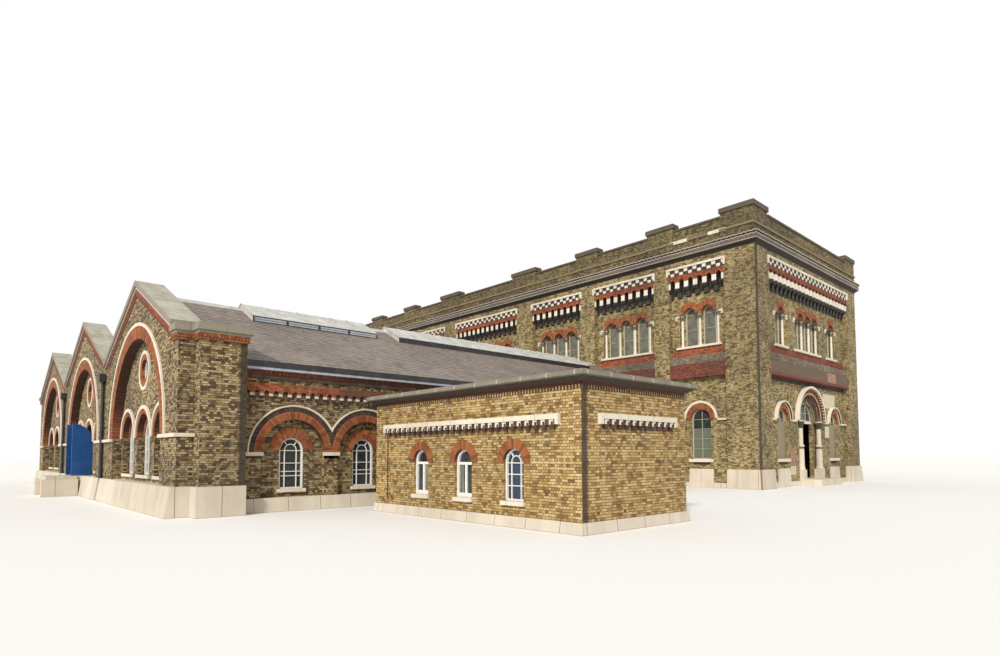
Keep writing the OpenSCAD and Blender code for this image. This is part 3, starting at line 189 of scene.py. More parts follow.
def new_group(name, ins, outs):
    """A node group; gives its tree, the values that come in and the node that gives them out."""
    tree = bpy.data.node_groups.new(name, "ShaderNodeTree")
    for label, value in ins:
        made = tree.interface.new_socket(label, in_out="INPUT", socket_type="NodeSocketFloat")
        made.default_value = value
    for label, kind in outs:
        tree.interface.new_socket(label, in_out="OUTPUT", socket_type="NodeSocket" + kind)
    return tree, tree.nodes.new("NodeGroupInput").outputs, tree.nodes.new("NodeGroupOutput")


def use(tree, group, inputs=None):
    return add(tree, "Group", inputs, node_tree=group).outputs


def part(vector, axis):
    return follow("SeparateXYZ", {0: vector})[axis]


def facing(tree, axis):
    """How far the surface faces along an axis, from -1 to 1."""
    return part(add(tree, "NewGeometry").outputs["True Normal"], axis)


def real(tree, axis):
    """The place along an axis, in millimetres of the real building."""
    place = part(add(tree, "TexCoord").outputs["Object"], axis)
    return maths("ADD", times(place, per_metre), (middle_x, middle_y, 0)[axis])


def between(value, low, high):
    inside = over(value, low)
    return times(inside, maths("LESS_THAN", value, high))


# The wall plane turns a place in the model into a distance along the wall and a height
plane, _, out = new_group("wall plane", [], [("Plane", "Vector")])
place = follow("SeparateXYZ", {0: add(plane, "TexCoord").outputs["Object"]})
lean = [maths("ABSOLUTE", facing(plane, axis)) for axis in range(3)]
flat = over(lean[2], 0.8)
side = maths("SUBTRACT", over(lean[0], lean[1]), flat, True)
along = follow("Mix", {0: side, 2: place[0], 3: place[1]})[0]
upward = follow("Mix", {0: flat, 2: place[2], 3: place[1]})[0]
fill(out, {"Plane": follow("CombineXYZ", {0: along, 1: upward})[0]})

# Courses of brick: a tone for each brick, the joints, and the relief of both. Each course wanders
# a little, and every second one is of headers, half as long.
stretcher, course, wandering = 225 / per_metre, 76.2 / per_metre, 0.006
courses, ins, out = new_group(
    "brick courses",
    [("Joint Width", 0.0028), ("Relief", 0.5)],
    [("Tone", "Float"), ("Joint", "Float"), ("Normal", "Vector")],
)
flat_place = use(courses, plane)[0]
wander = follow("TexNoise", {"Vector": flat_place, "Scale": 7.0, "Detail": 2.0})[1]
wander = follow("VectorMath", {0: wander, 1: (0.5, 0.5, 0.5)}, operation="SUBTRACT")[0]
wander = follow("VectorMath", {0: wander, "Scale": wandering}, operation="SCALE")[0]
laid = follow("VectorMath", {0: flat_place, 1: wander})[0]
brick = block_pattern(
    laid, stretcher, course, ins["Joint Width"], 0.4, offset_frequency=2, squash=0.5, squash_frequency=2
)
grit = noise(laid, 90.0, 3.0, 0.7)
height = maths("SUBTRACT", times(grit, 0.5), brick["Fac"])
height = maths("ADD", height, times(brick["Color"], 0.25))
normal = relief(height, ins["Relief"], 0.006)
fill(out, {"Tone": brick["Color"], "Joint": brick["Fac"], "Normal": normal})

# Weather: broad dark patches, small mottling, long pale or dark runs down a wall, and fine grain
labels = ("Patches", "Mottle", "Runs", "Grain")
weather, _, out = new_group("weather", [], [(label, "Float") for label in labels])
spot = add(weather, "TexCoord").outputs["Object"]
drawn = follow("Mapping", {"Vector": spot, "Scale": (4.0, 4.0, 0.35)})[0]
for label, vector, scale, detail, rough, low, high in (
    ("Patches", spot, 0.55, 5.0, 0.62, 0.38, 0.62),
    ("Mottle", spot, 5.5, 3.0, 0.6, 0.35, 0.65),
    ("Runs", drawn, 1.0, 4.0, 0.6, 0.42, 0.66),
):
    fill(out, {label: spread(noise(vector, scale, detail, rough), low, high)})
fill(out, {"Grain": noise(spot, 60.0, 4.0, 0.7)})


def weathered(name):
    """A new material with its tree, its shader and the weather's masks."""
    made, tree, shader = new_material(name)
    return made, tree, shader, use(tree, weather)


strip_top = 14100


def brick_material(name, stops, mortar, soot, clusters, corner=None):
    """Bricks that vary singly and in clusters; corner is the x, the y and the width of a black
    strip that runs up the east side of a corner, to under the cornice."""
    made, tree, shader, air = weathered(name)
    laid = use(tree, courses, {"Relief": 0.8, "Joint Width": 0.0034})
    tone = times(laid["Tone"], 1 - clusters)
    tone = maths("ADD", tone, times(air["Mottle"], clusters))
    colour = ramp(tone, stops)
    dirt = times(air["Patches"], soot)
    if corner:
        x, y, width = corner
        level = follow("CombineXYZ", {0: real(tree, 0), 1: real(tree, 1)})[0]
        away = follow("VectorMath", {0: level, 1: (x, y, 0)}, operation="DISTANCE")["Value"]
        strip = spread(away, width, width + 100, 0.9, 0.0)
        strip = times(strip, facing(tree, 0), True)
        strip = times(strip, maths("LESS_THAN", real(tree, 2), strip_top))
        dirt = maths("MAXIMUM", dirt, strip)
    colour = mix(dirt, colour, (0.035, 0.026, 0.018))
    colour = mix(spread(air["Grain"], 0.35, 0.7, 0.0, 0.35), colour, (0.05, 0.038, 0.025))
    colour = mix(laid["Joint"], colour, mortar)
    finish(shader, colour, 0.92, laid["Normal"])
    return made


engine_half, engine_y0, engine_y1 = 23300, 22200, 38800
annex_x0, annex_x1, annex_depth = 19300, 28900, 4850
engine_tones = [
    (0.0, (0.055, 0.037, 0.018)), (0.28, (0.21, 0.148, 0.064)), (0.5, (0.40, 0.30, 0.128)),
    (0.72, (0.57, 0.455, 0.215)), (1.0, (0.67, 0.57, 0.32)),
]
boiler_tones = [
    (0.0, (0.035, 0.022, 0.014)), (0.28, (0.15, 0.095, 0.045)), (0.5, (0.32, 0.225, 0.10)),
    (0.75, (0.50, 0.38, 0.19)), (1.0, (0.60, 0.50, 0.29)),
]
annex_tones = [
    (0.0, (0.13, 0.075, 0.025)), (0.25, (0.36, 0.215, 0.07)), (0.5, (0.56, 0.36, 0.13)),
    (0.78, (0.66, 0.48, 0.21)), (1.0, (0.72, 0.58, 0.32)),
]
sooty_tones = [(place, [c * 0.55 for c in tone]) for place, tone in engine_tones]
engine_brick = brick_material(
    "stock brick of the engine house", engine_tones, (0.055, 0.043, 0.028), 0.45, 0.35,
    (engine_half, engine_y0, 300),
)
parapet_brick = brick_material("sooted brick of the parapet", sooty_tones, (0.04, 0.03, 0.02), 0.45, 0.35)
boiler_brick = brick_material(
    "stock brick of the boiler house", boiler_tones, (0.022, 0.016, 0.012), 0.4, 0.2, (17700, -4090, 200)
)
annex_brick = brick_material(
    "stock brick of the annex", annex_tones, (0.06, 0.038, 0.02), 0.25, 0.2, (annex_x1, 0, 180)
)


def dress(material, *patterns):
    """Gives the CAD nodes of these names a material in place of their plain one."""
    for name in sum((matching(nodes, pattern) for pattern in patterns), []):
        nodes[name].data.materials.clear()
        nodes[name].data.materials.append(material)


dress(engine_brick, "engine_*_wall*")
dress(parapet_brick, "engine_parapet")
dress(boiler_brick, "boiler_gable_*", "boiler_side_wall_*", "boiler_corner_piers")
dress(annex_brick, "annex_*_wall*")


# Brick arches
# Voussoirs of orange-red rubbed brick set on edge round every arch and round window, each a
# wedge in a thin lime joint. The solid ring behind them is the mortar.
def south(x, y):
    """A wall through (x, y) that faces south: u runs to the right along it, and d goes into it."""
    return lambda u, d, z: at(x + u, y + d, z)


def north(x, y):
    return lambda u, d, z: at(x - u, y - d, z)


def east(x, y):
    return lambda u, d, z: at(x - d, y + u, z)


def west(x, y):
    return lambda u, d, z: at(x + d, y - u, z)


class Pile:
    """Blocks gathered into one mesh, each with a tone of its own."""

    def __init__(self, seed):
        self.points, self.faces, self.tones = [], [], []
        self.chance = random.Random(seed)

    def prism(self, place, outline, d0, d1, back=False):
        """An outline of (along, height), anticlockwise from the front, given depth d0 to d1."""
        n, k = len(outline), len(self.points)
        self.points += [place(u, d0, z) for u, z in outline]
        self.points += [place(u, d1, z) for u, z in outline]
        self.faces.append(range(k, k + n))
        if back:
            self.faces.append(range(k + 2 * n - 1, k + n - 1, -1))
        for i in range(n):
            j = (i + 1) % n
            self.faces.append((k + i, k + n + i, k + n + j, k + j))
        self.tones += [self.chance.random()] * (2 * n)

    def block(self, place, u0, z0, u1, z1, d0, d1):
        u0, u1 = sorted((u0, u1))
        self.prism(place, [(u0, z0), (u1, z0), (u1, z1), (u0, z1)], d0, d1)

    def spoke(self, place, u, z, angle, r0, r1, half, d0, d1):
        """A bar from radius r0 to r1 round (u, z), half as wide as half says on each side."""
        c, s = cos(radians(angle)), sin(radians(angle))
        corners = ((r0, half), (r1, half), (r1, -half), (r0, -half))
        self.prism(place, [(u + r * c + t * s, z + r * s - t * c) for r, t in corners], d0, d1)

    def ring(self, place, u, z, r0, r1, d0, d1, pitch=75, joint=10, a0=0, a1=180, half=None):
        """Voussoirs round (u, z); half is the distance to a neighbour arch that cuts them."""
        count = round(radians(a1 - a0) * r0 / pitch)
        step = radians(a1 - a0) / count
        for i in range(count):
            outline = []
            for r, s in ((r0, 0), (r1, 0), (r1, 1), (r0, 1)):
                a = radians(a0) + (i + s) * step + (0.5 - s) * joint / r
                if half and r * abs(cos(a)) > half:
                    r = half / abs(cos(a))
                outline.append((u + r * cos(a), z + r * sin(a)))
            self.prism(place, outline, d0, d1)

    def sweep(self, place, u, z, section, a0=0, a1=180, count=32):
        """A section of (radius, depth) carried round an arc, such as a moulded hood."""
        n, k = len(section), len(self.points)
        for i in range(count + 1):
            a = radians(a0 + (a1 - a0) * i / count)
            self.points += [place(u + r * cos(a), d, z + r * sin(a)) for r, d in section]
        for i in range(count):
            for j in range(n):
                p, q = k + i * n + j, k + i * n + (j + 1) % n
                self.faces.append((p, q, q + n, p + n))
        self.faces.append(range(k + n - 1, k - 1, -1))
        self.faces.append(range(k + count * n, k + count * n + n))
        self.tones += [self.chance.random()] * (n * (count + 1))

    def band(self, place, u, z, r0, r1, d0, d1, a1=180, count=32):
        """A plain square band from radius r0 to r1 round an arc."""
        self.sweep(place, u, z, [(r0, d0), (r1, d0), (r1, d1), (r0, d1)], 0, a1, count)

    def mesh(self, name, material, slot, body="building"):
        data = bpy.data.meshes.new(name)
        data.from_pydata(self.points, [], [tuple(f) for f in self.faces])
        data.attributes.new("tone", "FLOAT", "POINT").data.foreach_set("value", self.tones)
        data.materials.append(material)
        piece = bpy.data.objects.new(name, data)
        bpy.context.scene.collection.objects.link(piece)
        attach(piece, body)


# Walls, and the springing of their arches
engine_middle = (engine_y0 + engine_y1) / 2
engine_front, engine_back = south(0, engine_y0), north(0, engine_y1)
engine_east, engine_west = east(engine_half, engine_middle), west(-engine_half, engine_middle)
ends = (engine_east, engine_west)
upper_spring, lower_spring, gable_spring, oculus_z = 10700, 4150, 2740, 5390
arcade_spring, side_spring, annex_spring = 2120, 2190, 1780

# Bays of the long walls: where each begins and ends, and its number of upper lights
bay_recess, light_pitch, lower_pitch = 400, 1200, 2400
half_bays = [(5630, 10480, 3), (11740, 16600, 3), (17700, 21400, 2)]
bays = [(-b, -a, n) for a, b, n in half_bays] + [(-3850, 3850, 5)] + half_bays
end_lights = [[-4150], [-1200, 0, 1200], [4150]]


def spaced(bay, count, pitch):
    """Places a pitch apart about the middle of a bay."""
    return [(bay[0] + bay[1]) / 2 + (i - (count - 1) / 2) * pitch for i in range(count)]


def lower_of(bay):
    return spaced(bay, (bay[2] + 1) // 2, lower_pitch)


# Every group of upper lights and every lower window of the engine house, with its wall
upper_groups = [(p, spaced(b, b[2], light_pitch)) for p in (engine_front, engine_back) for b in bays]
upper_groups += [(p, group) for p in ends for group in end_lights]
end_windows = [(p, x) for p in ends for x in (-4200, 4200)]
lower_windows = [(engine_front, x) for b in (bays[2], bays[6]) for x in lower_of(b)]
lower_windows += [(engine_back, x) for b in bays for x in lower_of(b)] + end_windows

gable_x, gable_lights, gable_y = (-11400, 0, 11400), (-2550, 0, 2550), -6100
gables = [south(x, gable_y) for x in gable_x]
boiler_half, arcade_first, arcade_pitch = 17140, -2160, 2960
boiler_east, boiler_west = east(boiler_half, 0), west(-boiler_half, 0)
arcade = [(boiler_east, arcade_first + i * arcade_pitch) for i in range(8)]
arcade += [(boiler_west, -arcade_first - i * arcade_pitch) for i in range(8)]
annex_half, annex_side = (annex_x1 - annex_x0) / 2, annex_depth / 2
annex_front = south(annex_x0 + annex_half, 0)
annex_east = east(annex_x1, annex_side)
annex_windows = [-2100, 100, 2300]


def halves(wall, y):
    """The first angle of each half of a side arch, and how far it reaches to a neighbour's."""
    reach = arcade_pitch / 2 - 2
    neighbours = ((0, y + arcade_pitch), (90, y - arcade_pitch))
    return [(a0, reach if (wall, place) in arcade else None) for a0, place in neighbours]


def toned(tree, stops):
    """The colour of each block of a pile, by its tone."""
    return ramp(add(tree, "Attribute", attribute_name="tone").outputs["Fac"], stops)


def red_material(name, stops, soot=0.35):
    """Single bricks by their tone, with sooty patches, and with painted shade on the faces that look down.
    """
    made, tree, shader, air = weathered(name)
    colour = toned(tree, stops)
    colour = mix(spread(air["Grain"], 0.3, 0.7, 0.0, 0.45), colour, (0.12, 0.045, 0.02))
    colour = tint(colour, air["Patches"], soot, (0.05, 0.03, 0.02))
    # Faces that look down are darkened: painted shade on undersides and soffits
    under = spread(facing(tree, 2), -0.35, 0.04, 0.93, 0.0)
    colour = mix(under, colour, (0.03, 0.014, 0.009))
    finish(shader, colour, 0.88, relief(air["Grain"], 0.35, 0.004))
    return made


# Near-black brick with sooty patches; most of its pieces are plates of painted shade
soot_and_shade_brick = red_material(
    "sooted brick", [(0.0, (0.016, 0.011, 0.008)), (0.5, (0.05, 0.033, 0.024)), (1.0, (0.10, 0.065, 0.045))],
    0.2,
)
rubbed_red = red_material(
    "orange-red rubbed brick",
    [
        (0.0, (0.20, 0.045, 0.013)), (0.4, (0.42, 0.115, 0.03)), (0.75, (0.55, 0.18, 0.045)),
        (1.0, (0.30, 0.07, 0.025)),
    ],
)


def mottled_material(name, first, second, roughness, runs=None, bump=None):
    """Two colours mottled together; runs is the share and the colour of long runs, and bump is
    the mask, the strength and the distance of the relief."""
    made, _, shader, air = weathered(name)
    colour = mix(air["Mottle"], first, second)
    if runs:
        colour = tint(colour, air["Runs"], *runs)
    finish(shader, colour, roughness, relief(air[bump[0]], *bump[1:]) if bump else None)
    return made


mortar = mottled_material(
    "lime mortar", (0.34, 0.28, 0.2), (0.16, 0.12, 0.08), 0.95, bump=("Grain", 1.0, 0.003)
)
dress(mortar, "*_brick_arches")

pile = Pile(11)
proud = bay_recess - 78
for wall, lights in upper_groups:
    for x in lights:
        for r0, r1 in ((414, 585), (590, 764)):
            pile.ring(wall, x, upper_spring, r0, r1, proud, bay_recess, half=light_pitch / 2 - 3)
for wall, x in lower_windows:
    for r0, r1 in ((634, 805), (810, 984)):
        pile.ring(wall, x, lower_spring, r0, r1, proud, bay_recess)
for r0, r1, d1 in ((1774, 1950, bay_recess + 20), (1955, 2134, bay_recess)):
    pile.ring(engine_east, 0, lower_spring, r0, r1, proud, d1)
pile.mesh("engine_voussoirs", rubbed_red, "red_brick")

pile = Pile(12)
for wall in gables:
    pile.ring(wall, 0, gable_spring, 3834, 4080, -28, 350)
    pile.ring(wall, 0, gable_spring, 4086, 4334, -28, 20)
    for x in gable_lights:
        pile.ring(wall, x, gable_spring, 944, 1134, 312, 620)
        if x or wall is not gables[1]:
            pile.ring(wall, x, gable_spring, 744, 942, 542, 660)
    pile.ring(wall, 0, oculus_z, 444, 664, 302, 420, a1=360)
for wall, y in arcade:
    for a0, half in halves(wall, y):
        pile.ring(wall, y, arcade_spring, 1194, 1468, -68, 200, a0=a0, a1=a0 + 90, half=half)
    for r0, r1 in ((454, 645), (650, 844)):
        pile.ring(wall, y, side_spring, r0, r1, 162, 200)
pile.mesh("boiler_voussoirs", rubbed_red, "red_brick")

# Outside the red order of a side arch, and inside that of the entrance, runs a dark one
pile = Pile(15)
for wall, y in arcade:
    for a0, half in halves(wall, y):
        pile.ring(wall, y, arcade_spring, 1472, 1646, -62, 10, a0=a0, a1=a0 + 90, half=half)
    for pier in (y - arcade_pitch / 2, y + arcade_pitch / 2):
        pile.block(wall, pier - 300, 1900, pier + 300, 1990, -40, 5)
pile.ring(engine_east, 0, lower_spring, 1474, 1784, 522, 560)
pile.mesh("dark_voussoirs", soot_and_shade_brick, "red_brick")

pile = Pile(13)
for x in annex_windows:
    pile.ring(annex_front, x, annex_spring, 394, 664, 12, 200, pitch=72)
pile.mesh("annex_voussoirs", rubbed_red, "red_brick")


# Stone dressings
# Pale limestone, painted or washed white: plinths of separate sloped blocks, strings, hoods,
# sills, corbels and columns. It is soiled grey and black where rain doesn't wash it.
one_course = 5.0  # metres, so high that only upright joints show
stones, ins, out = new_group(
    "stone blocks",
    [("Block Length", 0.475), ("Joint Width", 0.003)],
    [("Tone", "Float"), ("Joint", "Float"), ("Normal", "Vector")],
)
laid = block_pattern(use(stones, plane)[0], ins["Block Length"], one_course, ins["Joint Width"], 0.3)
grain = use(stones, weather)["Grain"]
height = maths("SUBTRACT", times(grain, 0.6), laid["Fac"])
fill(out, {"Tone": laid["Color"], "Joint": laid["Fac"], "Normal": relief(height, 0.45, 0.004)})


def stone_material(
    name, light, dark, soil, length=0.475, soiling=0.6, joint=None, upright=None, streaks=1.0, bands=(),
    joint_width=0.003, rusty_corner=None, flanks=None,
):
    """Stone in blocks; upright is its colour on faces that stand up, bands are (low, high, colour),
    rusty_corner is x + y of a corner that rust runs down, and flanks is painted shade on the sides of
    corbels."""
    made, tree, shader, air = weathered(name)
    laid = use(tree, stones, {"Block Length": length, "Joint Width": joint_width})
    colour = mix(laid["Tone"], light, dark)
    if upright:
        standing = spread(facing(tree, 2), 0.3, 0.7, 0.85, 0.0)
        colour = mix(standing, colour, upright)
    dirt = follow("Mix", {0: streaks, 2: air["Patches"], 3: air["Runs"]})[0]
    colour = tint(colour, dirt, soiling, soil)
    colour = mix(spread(air["Grain"], 0.35, 0.75, 0.0, 0.35), colour, dark)
    colour = mix(laid["Joint"], colour, joint or [c * 0.5 for c in soil])
    for low, high, shade in bands:
        ragged = maths("ADD", real(tree, 2), spread(air["Grain"], 0, 1, -30, 30))
        cover = spread(air["Grain"], 0, 1, 1.0, 0.92)
        colour = mix(times(between(ragged, low, high), cover), colour, shade)
    # The sides of the corbels take the flanks colour: painted shade
    if flanks:
        out = maths("ABSOLUTE", real(tree, 0))
        on_end = over(out, engine_half - 450)
        sideways = [maths("ABSOLUTE", facing(tree, axis)) for axis in (0, 1)]
        sideways = follow("Mix", {0: on_end, 2: sideways[0], 3: sideways[1]})[0]
        front = times(on_end, over(out, engine_half - 180))
        hidden = maths("SUBTRACT", over(sideways, 0.7), front, True)
        colour = mix(hidden, colour, flanks)
    if rusty_corner:
        across = maths("ADD", real(tree, 0), real(tree, 1))
        run = between(across, rusty_corner - 40, rusty_corner + 150)
        colour = tint(colour, run, 0.85, (0.32, 0.085, 0.03))
    finish(shader, colour, 0.85, laid["Normal"])
    return made


rust = (0.17, 0.075, 0.035)
plinth_stone = stone_material(
    "plinth stone", (0.69, 0.63, 0.53), (0.64, 0.575, 0.465), (0.32, 0.265, 0.19), 0.62, 0.6, rust,
    streaks=0.35, joint_width=0.005, rusty_corner=engine_half + engine_y0,
)
landing_stone = stone_material(
    "stone of the landing and its columns", (0.76, 0.69, 0.56), (0.62, 0.55, 0.43), (0.30, 0.25, 0.18),
    1.1, 0.5, streaks=0.5,
    bands=((2330, 2440, (0.10, 0.08, 0.055)), (3660, 4090, (0.022, 0.017, 0.013))),
)
white_stone = stone_material(
    "white dressings", (0.80, 0.74, 0.62), (0.68, 0.61, 0.49), (0.26, 0.22, 0.16), 0.6, 0.35, streaks=0.4
)
column_stone = stone_material(
    "white columns with grey capitals", (0.78, 0.73, 0.61), (0.66, 0.60, 0.49), (0.30, 0.26, 0.2),
    one_course, 0.35, bands=((10390, 10625, (0.10, 0.092, 0.075)),),
)
corbel_stone = stone_material(
    "white corbels on black feet", (0.80, 0.75, 0.64), (0.70, 0.63, 0.52), (0.22, 0.19, 0.15),
    one_course, 0.3, bands=((11700, 12430, (0.018, 0.015, 0.013)),), flanks=(0.02, 0.017, 0.014),
)
rake_stone = stone_material(
    "weathered coping", (0.52, 0.50, 0.42), (0.40, 0.385, 0.31), (0.22, 0.20, 0.15),
    upright=(0.20, 0.175, 0.125),
)
parapet_stone = stone_material(
    "dark parapet coping", (0.19, 0.155, 0.11), (0.11, 0.09, 0.065), (0.06, 0.045, 0.035),
    upright=(0.095, 0.073, 0.05), bands=((15200, 15390, (0.21, 0.16, 0.085)),),
)
slab_stone = stone_material(
    "grey roof slabs", (0.36, 0.33, 0.265), (0.26, 0.235, 0.185), (0.15, 0.125, 0.09), 0.475, 0.5,
    (0.55, 0.50, 0.41), (0.22, 0.195, 0.15), joint_width=0.009,
    bands=((3700, 3985, (0.07, 0.055, 0.038)),),
)
dress(plinth_stone, "*_plinth*", "door_steps")
dress(landing_stone, "engine_landing")
dress(white_stone, "*_stone_strings", "*_stone_bands")
dress(column_stone, "engine_columns")
dress(corbel_stone, "engine_corbels")
dress(rake_stone, "boiler_rake_copings")
dress(parapet_stone, "engine_coping")
dress(slab_stone, "annex_roof", "*_floor*")

# White blocks beside the outer columns upstairs, and the white pieces of the parapet's string
pile = Pile(14)
for wall, lights in upper_groups:
    for hand, edge in ((-1, lights[0]), (1, lights[-1])):
        for inner, z0, z1 in ((725, -100, 10), (880, -260, -100)):
            u0, u1 = edge + hand * inner, edge + hand * 980
            pile.block(wall, u0, upper_spring + z0, u1, upper_spring + z1, bay_recess - 55, bay_recess + 2)
for u0, u1 in ((17850, 19100), (20500, 21650)):
    pile.block(engine_front, u0, 15222, u1, 15430, -64, 2)
# Hoods of the end walls stand well out; the entrance's has white teeth on its dark underside
pile.band(engine_east, 0, lower_spring, 2146, 2290, 150, 262)
pile.ring(engine_east, 0, lower_spring, 2084, 2118, 176, 268, pitch=210, joint=120)
for wall, x in end_windows:
    pile.band(wall, x, lower_spring, 1036, 1120, 190, 290, count=24)
pile.band(engine_east, 0, lower_spring, 1776, 1812, 306, 330)
pile.mesh("engine_white_blocks", white_stone, "white_stone")

# White hoods over the side arches, which meet on a small stone over each pier
pile = Pile(16)
hood = [(1650, -62), (1672, -105), (1715, -105), (1715, 4), (1650, 4)]
for wall, y in arcade:
    for a0, half in halves(wall, y):
        met = 30.4 if half else 0
        first, last = (90, 180 - met) if a0 else (met, 90)
        pile.sweep(wall, y, arcade_spring, hood, first, last, 18)
    if (wall, y + arcade_pitch) in arcade:
        pier = y + arcade_pitch / 2
        pile.prism(wall, [(pier - 70, 3060), (pier, 2880), (pier + 70, 3060)], -112, 0)
pile.mesh("arcade_hoods", white_stone, "white_stone")


# Slate roofs of the boiler house
# Three double slopes of grey-brown slates, each slate about 280 mm wide and laid 225 mm to the
# course in broken joint, tails slightly uneven, over the boarded slope.
slates, tree, shader, air = weathered("slates")
slate_tones = [
    (0.0, (0.15, 0.13, 0.125)), (0.35, (0.22, 0.185, 0.17)), (0.7, (0.27, 0.225, 0.19)),
    (1.0, (0.20, 0.19, 0.195)),
]
colour = toned(tree, slate_tones)
colour = tint(colour, air["Mottle"], 0.5, (0.33, 0.27, 0.2))
colour = tint(colour, air["Patches"], 0.4, (0.12, 0.10, 0.09))
finish(shader, colour, 0.62, relief(air["Grain"], 0.3, 0.003))
dress(slates, "boiler_roof")

pitch = radians(28)
ridge_z = 5200 + gable_x[2] / 2 * tan(pitch)
roof_y0, roof_y1 = -5290, 22190
slate_width, slate_pitch, gauge, slate_length, boards_up = 276, 280, 225, 232, 180
for i, ridge_x in enumerate(gable_x):
    pile = Pile(20 + i)
    for hand in (-1, 1):
        outer = i == 1 + hand
        reach = (5740 if outer else 5690) / cos(pitch)

        def on_slope(s, y, up):
            """A place s down the slope from the ridge and up above it."""
            h = s * cos(pitch) + up * sin(pitch)
            z = ridge_z + boards_up - s * sin(pitch) + up * cos(pitch)
            return at(ridge_x + hand * h, y, z)

        for row in range(int(reach / gauge) + 1):
            low = reach - row * gauge
            high = max(low - slate_length, 20)
            y = roof_y0 - (slate_pitch / 2 if row % 2 else 0)
            while y < roof_y1 - 10:
                y0, y1 = max(y, roof_y0), min(y + slate_width, roof_y1)
                y += slate_pitch
                # The caps of the corner piers stand in the front ends of the outer slopes
                by_cap = outer and y0 < -4080 and low * cos(pitch) > 5150
                if by_cap or y1 - y0 < 40:
                    continue
                slip, lift = pile.chance.uniform(0, 9), pile.chance.uniform(13, 21)
                k = len(pile.points)
                tail = low + slip - (0 if row else 9)
                for s, up in ((high, 3), (tail, lift), (tail, 1)):
                    pile.points += [on_slope(s, y0, up), on_slope(s, y1, up)]
                order = ((0, 1, 3, 2), (2, 3, 5, 4))
                for face in order if hand < 0 else [f[::-1] for f in order]:
                    pile.faces.append([k + v for v in face])
                pile.tones += [pile.chance.random()] * 6
    pile.mesh(f"slates_{i + 1}", slates, "slate")


# Lead of the ridges
# Milled lead weathered almost white: sheets dressed over the ridge ventilators with welted laps,
# and a rolled ridge with wings between them.
def mirrored(outline):
    """An outline turned left to right, still anticlockwise."""
    return [(-u, z) for u, z in outline[::-1]]


lead = mottled_material(
    "weathered lead", (0.60, 0.60, 0.57), (0.46, 0.46, 0.43), 0.55,
    runs=(0.5, (0.3, 0.28, 0.24)), bump=("Mottle", 0.3, 0.006),
)
dress(lead, "boiler_ridge_vents", "engine_roof")

pile = Pile(25)
vents, lap_pitch = [(-2100, 3900), (5200, 20300)], 900
between_vents = [(roof_y0, vents[0][0]), (vents[0][1], vents[1][0]), (vents[1][1], roof_y1)]
half_lap = [(0, 8670), (1410, 7924), (1410, 7958), (0, 8704)]
half_roll = [(0, 8430), (240, 8300), (240, 8330), (55, 8432), (36, 8490)]
for ridge_x in gable_x:
    for y0, y1 in vents:
        count = round((y1 - y0) / lap_pitch)
        for i in range(count + 1):
            lap = south(ridge_x, y0 + i * (y1 - y0) / count)
            for outline in (half_lap, mirrored(half_lap)):
                pile.prism(lap, outline, -24, 24, True)
    for y0, y1 in between_vents:
        pile.prism(south(ridge_x, y0), half_roll + mirrored(half_roll[1:]), 0, y1 - y0, True)
pile.mesh("ridge_rolls", lead, "lead")


# Ironwork
# Cast-iron gutters, hoppers and downpipes in thick black paint, dulled by dust.
iron, _, shader, air = weathered("black painted iron")
colour = mix(air["Mottle"], (0.012, 0.012, 0.014), (0.035, 0.033, 0.032))
finish(shader, colour, spread(air["Grain"], 0.3, 0.7, 0.35, 0.6))
dress(iron, "boiler_gutters", "boiler_downpipes", "door_pins")

# Upright lip of each gutter, and the tarred boards and glazed strips in the sides of the vents
pile, panes = Pile(26), Pile(27)
for hand, wall in ((1, boiler_east), (-1, boiler_west)):
    pile.block(wall, hand * -4080, 5116, hand * 22195, 5322, -256, -226)
for ridge_x in gable_x:
    for hand, wall in ((1, east(ridge_x + 1400, 0)), (-1, west(ridge_x - 1400, 0))):
        for y0, y1 in vents:
            u0, u1 = sorted((hand * y0, hand * y1))
            pile.block(wall, u0, 7660, u1, 7930, -16, 0)
            count = round((y1 - y0) / 1500)
            step = (u1 - u0) / count
            for i in range(count if count < 6 else 0):
                for low, high in ((7712, 7778), (7800, 7872)):
                    panes.block(wall, u0 + i * step + 70, low, u0 + (i + 1) * step - 50, high, -24, -16)
pile.mesh("gutter_lips_and_vent_boards", iron, "cast_iron")


# Red brick bands
# Friezes between the storeys and the little arches of the corbel tables, in dark red facing
# brick; the band over the frieze is of grey stocks. Aprons of red brick stand under the sills.
def band_material(name, stops, joint, soot, grey_from=None, sooted_from=None):
    """Red brickwork; it is of grey bricks above a height, and sooted north of a y."""
    made, tree, shader, air = weathered(name)
    laid = use(tree, courses, {"Relief": 0.5})
    colour = ramp(laid["Tone"], stops)
    if grey_from:
        tones = [(0.0, (0.13, 0.11, 0.085)), (0.6, (0.27, 0.225, 0.16)), (1.0, (0.36, 0.31, 0.22))]
        grey = ramp(laid["Tone"], tones)
        colour = mix(over(real(tree, 2), grey_from), colour, grey)
    colour = mix(laid["Joint"], colour, joint)
    colour = tint(colour, air["Patches"], soot, (0.045, 0.03, 0.025))
    colour = mix(spread(air["Mottle"], 0.2, 1, 0.0, 0.35), colour, (0.10, 0.05, 0.035))
    if sooted_from:
        back = spread(real(tree, 1), sooted_from, sooted_from + 400, 0.0, 0.62)
        colour = mix(back, colour, (0.07, 0.04, 0.028))
    finish(shader, colour, 0.9, laid["Normal"])
    return made


